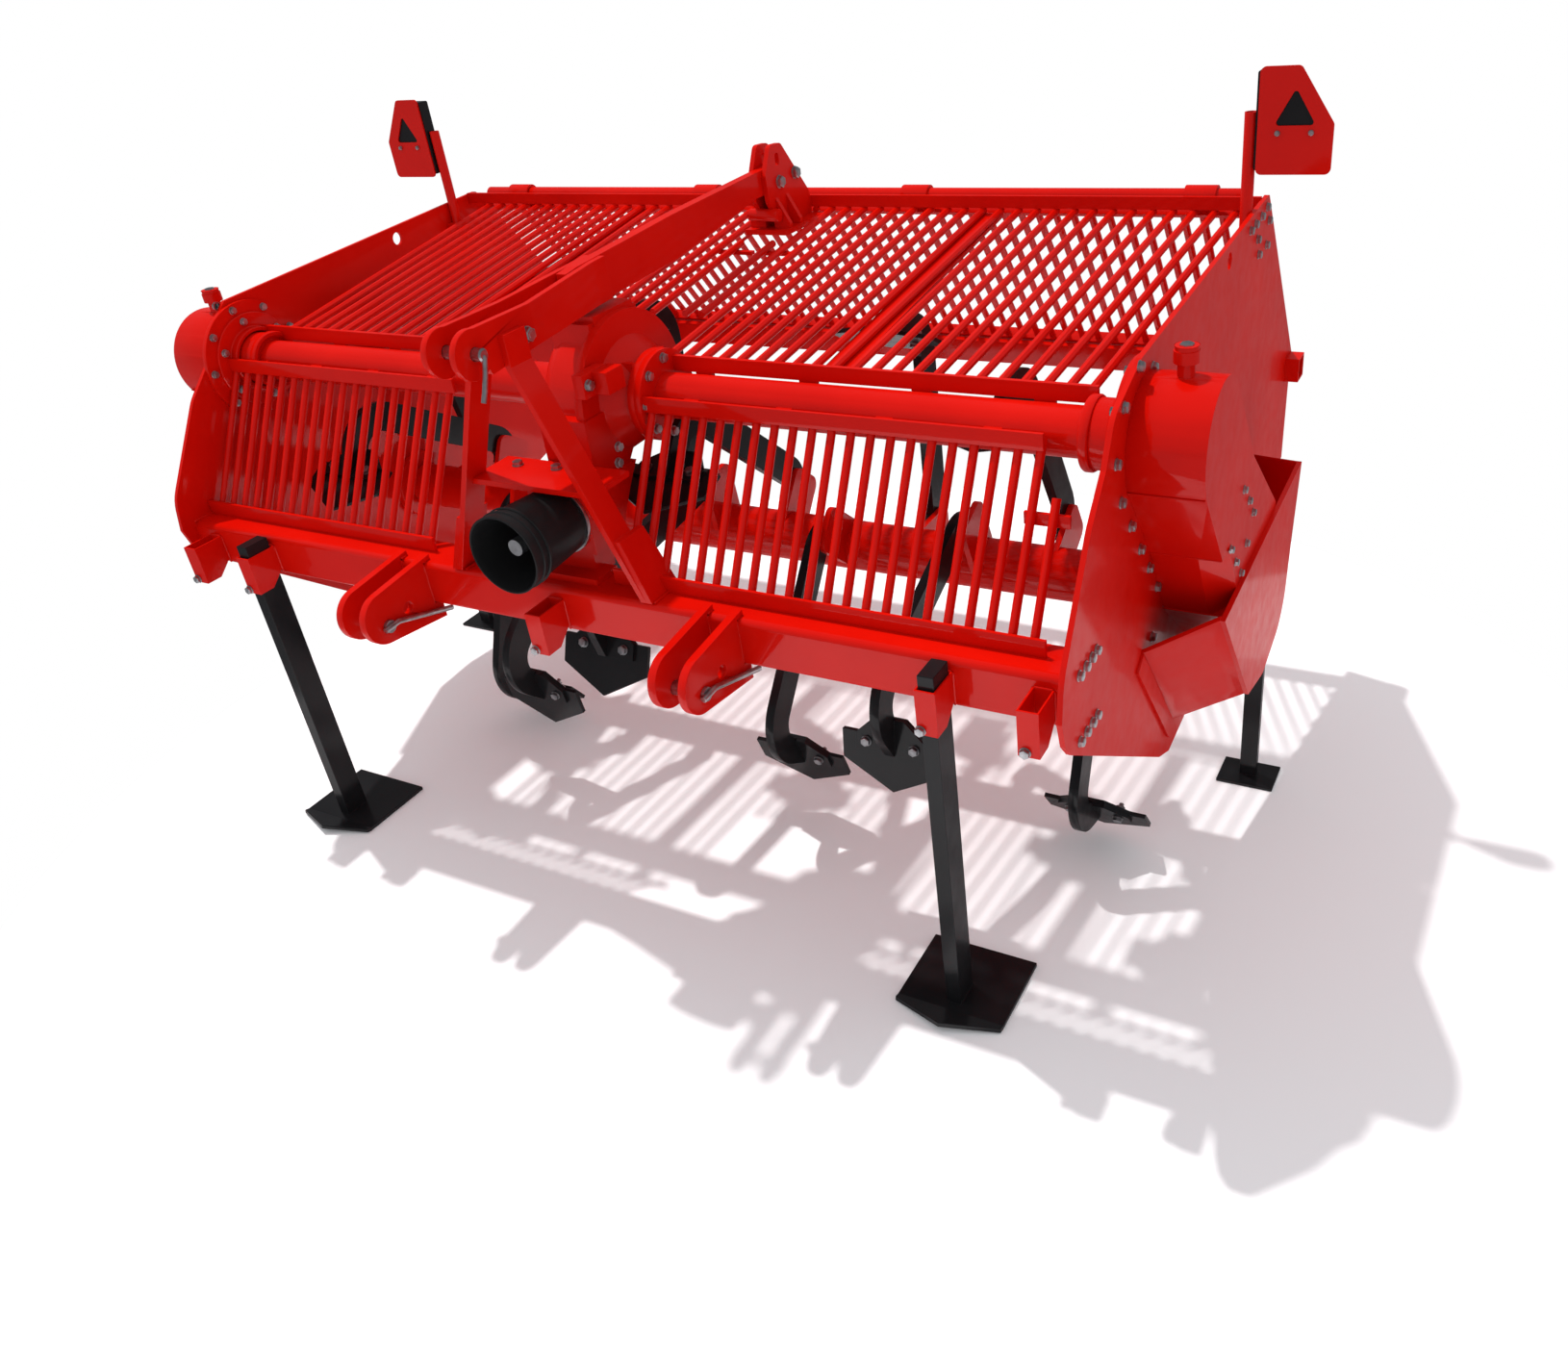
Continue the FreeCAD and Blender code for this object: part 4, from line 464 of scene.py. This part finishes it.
def along_bar(share):
    """The place at a share of a front bar's length, as back and up."""
    return [foot + (top - foot) * share for foot, top in zip(BAR_FOOT, BAR_TOP)]


def front_grille(name, first, last, rail_end, edges):
    """One half of the front grille, its bars counted inwards from its outermost one."""
    mesh = bmesh.new()
    low, high = edges
    plate(mesh, (low, LOWER_RAIL, BEAM_TOP), (high, LOWER_RAIL + RAIL_THICK, BEAM_TOP + LOWER_HEIGHT))
    plate(mesh, (low, UPPER_RAIL, UPPER_HEIGHTS[0]), (rail_end, UPPER_RAIL + RAIL_THICK, UPPER_HEIGHTS[1]))
    count = round(abs(last - first) / BAR_PITCH)
    for k in range(count + 1):
        x = first + (last - first) * k / count
        rod(mesh, [at(x, *BAR_FOOT), at(x, *along_bar(SHORT_SHARE if x > rail_end else 1))], BAR_RADIUS)
    for k in range(STRAPS):
        x = low + (rail_end - low) * (k + 0.5) / STRAPS
        plate(mesh, (x - STRAP_HALF, STRAP_FRONT, STRAP_HEIGHTS[0]), (x + STRAP_HALF, STRAP_BACK, STRAP_HEIGHTS[1]))
    if high > rail_end:
        y, z = along_bar(TIE_SHARE)
        plate(mesh, (rail_end - TIE_IN, y + TIE_BACK[0], z - TIE_HALF), (high, y + TIE_BACK[1], z + TIE_HALF))
    return piece_from(name, mesh, red_paint)


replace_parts(front_grille("front_grille_right_bars", 1034, 152, 1000, (124, 1063)), "front_grille_right")
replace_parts(front_grille("front_grille_left_bars", -1121, -407, -382, (-1144, -382)), "front_grille_left")

# Gearbox: an iron casting under the same red paint, with the grain of the sand mould.
# Its cover bolts are plated, and a lug on its right side takes one more.
# The shelf in front of it is bolted down from above.
CAST_DEEP, CAST_BRIGHT = (0.54, 0.0030, 0.0006), (0.64, 0.0050, 0.0010)
cast_paint = paint("cast_red_paint", "red_paint", CAST_DEEP, CAST_BRIGHT, 0.40, 0.12, 0.30, 520)
finish_node("gearbox", cast_paint, 0.0016)
bolts("gearbox_side_bolts", [(98, 177, 1049), (98, 167, 1018)], RIGHT)
lug = bmesh.new()
plate(lug, (60, 128, 1164), (86, 205, 1214), 3)
plate(lug, (84, 158, 1166), (122, 214, 1212), 3)
piece_from("gearbox_lug", lug, cast_paint)
bolts("gearbox_lug_bolt", [(86, 143, 1190)], RIGHT, across=19)
bolts("headstock_shelf_bolts", [(-105, 93, 1022), (-6, 98, 1022)], UP, across=19)

# Headstock: two slanting braces, the bent fork plates and the deep plate back to the tower.
# Four bolts hold the right brace's foot, one goes through the fork, and two go through the tower.
TOWER_FACE = 24.5
bolts("brace_foot_bolts", [(201, 43, 892), (201, 76, 892), (223, 46, 832), (223, 83, 832)], RIGHT)
bolts("fork_bolt_right", [(42, 57, 1318)], RIGHT, across=24)
bolts("fork_bolt_left", [(-42, 57, 1318)], LEFT, across=24, stud=8)
for side, name, out in SIDES:
    bolts(f"tower_bolts_{name}", [(side * TOWER_FACE, 1035, 1382), (side * TOWER_FACE, 1110, 1388)], out,
          across=24, stud=0 if side > 0 else 9)

# Leg sockets: short square tubes welded to the front of the beam.
# A plated set bolt low in each one's front clamps the leg.
bolts("socket_set_bolts", [(x, -78, 690) for x in (-1089, -900, -12, 874, 1072)], FRONT)

# Side cases: folded sheet cases for the chain drives, with a bolted flange, a bolted cover and a breather.
# The shell is rolled in strips, and its seams show as fine lines.
# The three foremost flange bolts are on the right only.
FLANGE_BOLTS = (
    (274, 1254), (351, 1226), (193, 1213), (154, 1130), (180, 1050), (234, 981), (292, 908), (348, 842),
    (402, 774), (458, 710), (376, 677))
LEFT_FLANGE_FROM = 200
COVER_BOLTS = (491, 953), (538, 910), (579, 867), (535, 822), (406, 871), (452, 822), (500, 775)
CASE_SEAMS = (214, 1052), (352, 872), (452, 700)
BREATHER_OUT = 1222.5
BREATHER_PROFILE = (17, -30), (22, -29), (22, -8), (19, -7), (19, -2), (21, -1), (21, 0)
case_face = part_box("side_case_right")[1].x * 1000
case_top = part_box("side_case_right")[1].z * 1000
for side, name, out in SIDES:
    bolts(f"case_flange_bolts_{name}",
          [(side * plate_outside, y, z) for y, z in FLANGE_BOLTS if side > 0 or y > LEFT_FLANGE_FROM], out)
    bolts(f"case_cover_bolts_{name}", [(side * case_face, y, z) for y, z in COVER_BOLTS], out, across=13)
    seams = bmesh.new()
    for y, z in CASE_SEAMS:
        rod(seams, [at(side * (plate_outside + 1), y, z), at(side * (case_face - 2), y, z)], 1.6, 8)
    piece_from(f"case_seams_{name}", seams, red_paint, smooth=BEAD_SMOOTH)
    collar = bmesh.new()
    turned(collar, BREATHER_PROFILE, at(side * BREATHER_OUT, SHAFT[0], case_top), UP, 28)
    piece_from(f"breather_collar_{name}", collar, red_paint)
    cap = bmesh.new()
    hex_bolt(cap, at(side * BREATHER_OUT, SHAFT[0], case_top - 8), UP, across=22)
    piece_from(f"breather_cap_{name}", cap, zinc, smooth=HEAD_SMOOTH)

# Reflector boards: pressed red boards on round posts, with a black lamp box behind each.
# Two small bolts hold the lamp box below the window.
BLACK_DEEP, BLACK_BRIGHT = (0.006, 0.006, 0.007), (0.013, 0.013, 0.014)
black_paint = paint("black_paint", "black_paint", BLACK_DEEP, BLACK_BRIGHT, 0.30, 0.10, 0.16, 420)
finish_node("reflector_backings", black_paint, 0.003)
board_front = (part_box("reflector_boards")[0].y - beam_front) * 1000
for side, name, out in SIDES:
    bolts(f"board_bolts_{name}", [(side * x, board_front, 1466) for x in (1190, 1256)], FRONT, across=9)

# Rotor: black arms and flat pointed spades in a staggered order along a red tube.
# Each spade is bolted through its arm's end plate, with the nuts on the other face.
# Each row of ARMS gives an arm's place along the tube and its angle.
ARMS = (
    (-1000, 100), (-830, 150), (-657, 247), (-440, 219), (-255, 90), (-70, 187), (115, 140), (297, 230),
    (470, 90), (641, 202), (820, 120), (995, 247))
ROTOR = 705, 600
SPADE_OUT, SPADE_LEAN, BOLT_SPREAD = 520.8, 60, 57
HEAD_FACE, NUT_FACE = -13, 5
for name in ("spade_arms", "spades"):
    finish_node(name, black_paint, 0.0016)
dull_steel = plated("dull_steel", (0.20, 0.20, 0.21), (0.40, 0.40, 0.41), 0.34)
heads, nuts = bmesh.new(), bmesh.new()
for along, angle in ARMS:
    lay = (Matrix.Translation(at(along, *ROTOR)) @ Matrix.Rotation(math.radians(angle), 4, "X")
           @ Matrix.Translation((0, SPADE_OUT / 1000, 0)) @ Matrix.Rotation(math.radians(SPADE_LEAN), 4, "X"))
    for x in (-BOLT_SPREAD / 1000, BOLT_SPREAD / 1000):
        hex_bolt(heads, lay @ Vector((x, 0, HEAD_FACE / 1000)), lay.to_3x3() @ DOWN, 19)
        hex_bolt(nuts, lay @ Vector((x, 0, NUT_FACE / 1000)), lay.to_3x3() @ UP, 19, stud=7)
piece_from("spade_bolts", heads, dull_steel, "rotor", HEAD_SMOOTH)
piece_from("spade_nuts", nuts, dull_steel, "rotor", HEAD_SMOOTH)

# Stand legs: black flat bar on bent foot plates at the front, and on square pads at the rear.
# They are painted before they go into their sockets.
for name in ("front_leg_right", "front_leg_left", "rear_leg_right", "rear_leg_left"):
    finish_node(name, black_paint, 0.0015)

# Pins, input shaft and the cup's clamp ring: plated and ground steel.
# The top link pin is turned with chamfered ends, and its bent handle hangs down outside the fork.
PIN_BACK, PIN_UP = -82, 1325
PIN_PROFILE = (0, 0), (9, 0.5), (12.4, 4), (12.4, 118), (9, 121), (0, 121)
HANDLE = (58, PIN_BACK, PIN_UP), (62, -83, 1318), (63, -90, 1296), (63, -104, 1262), (63, -113, 1246)
HANDLE_RADIUS = 5
pin_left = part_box("top_link_pin")[0].x * 1000
top_pin = bmesh.new()
turned(top_pin, PIN_PROFILE, at(pin_left, PIN_BACK, PIN_UP), RIGHT)
rod(top_pin, [at(*place) for place in HANDLE], HANDLE_RADIUS)
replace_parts(piece_from("top_link_pin_and_handle", top_pin, zinc), "top_link_pin")
for name in ("hitch_pins", "input_shaft", "pto_guard_ring"):
    finish_node(name, zinc, 0.0006)

# Guard cup: soft black moulded plastic around the input shaft, held by the clamp ring.
# Two raised ribs run round it behind its rolled lip.
CUP_RADIUS, CUP_UP, CUP_RIBS = 82, 925, (26, 44)
RIB_PROFILE = (0, -3), (2.6, -2), (3.2, 0), (2.6, 2), (0, 3)
CUP_DEEP, CUP_BRIGHT = (0.010, 0.010, 0.010), (0.018, 0.018, 0.019)
cup_plastic = paint("cup_plastic", "black_plastic", CUP_DEEP, CUP_BRIGHT, 0.40, 0.06, 0.22, 700)
finish_node("pto_guard", cup_plastic)
mouth = at(0, 0, CUP_UP)
mouth.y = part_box("pto_guard")[0].y
cup = bmesh.new()
for rib in CUP_RIBS:
    turned(cup, [(CUP_RADIUS + out, rib + along) for out, along in RIB_PROFILE], mouth, BACK, 64)
piece_from("cup_ribs", cup, cup_plastic, smooth=math.radians(60))
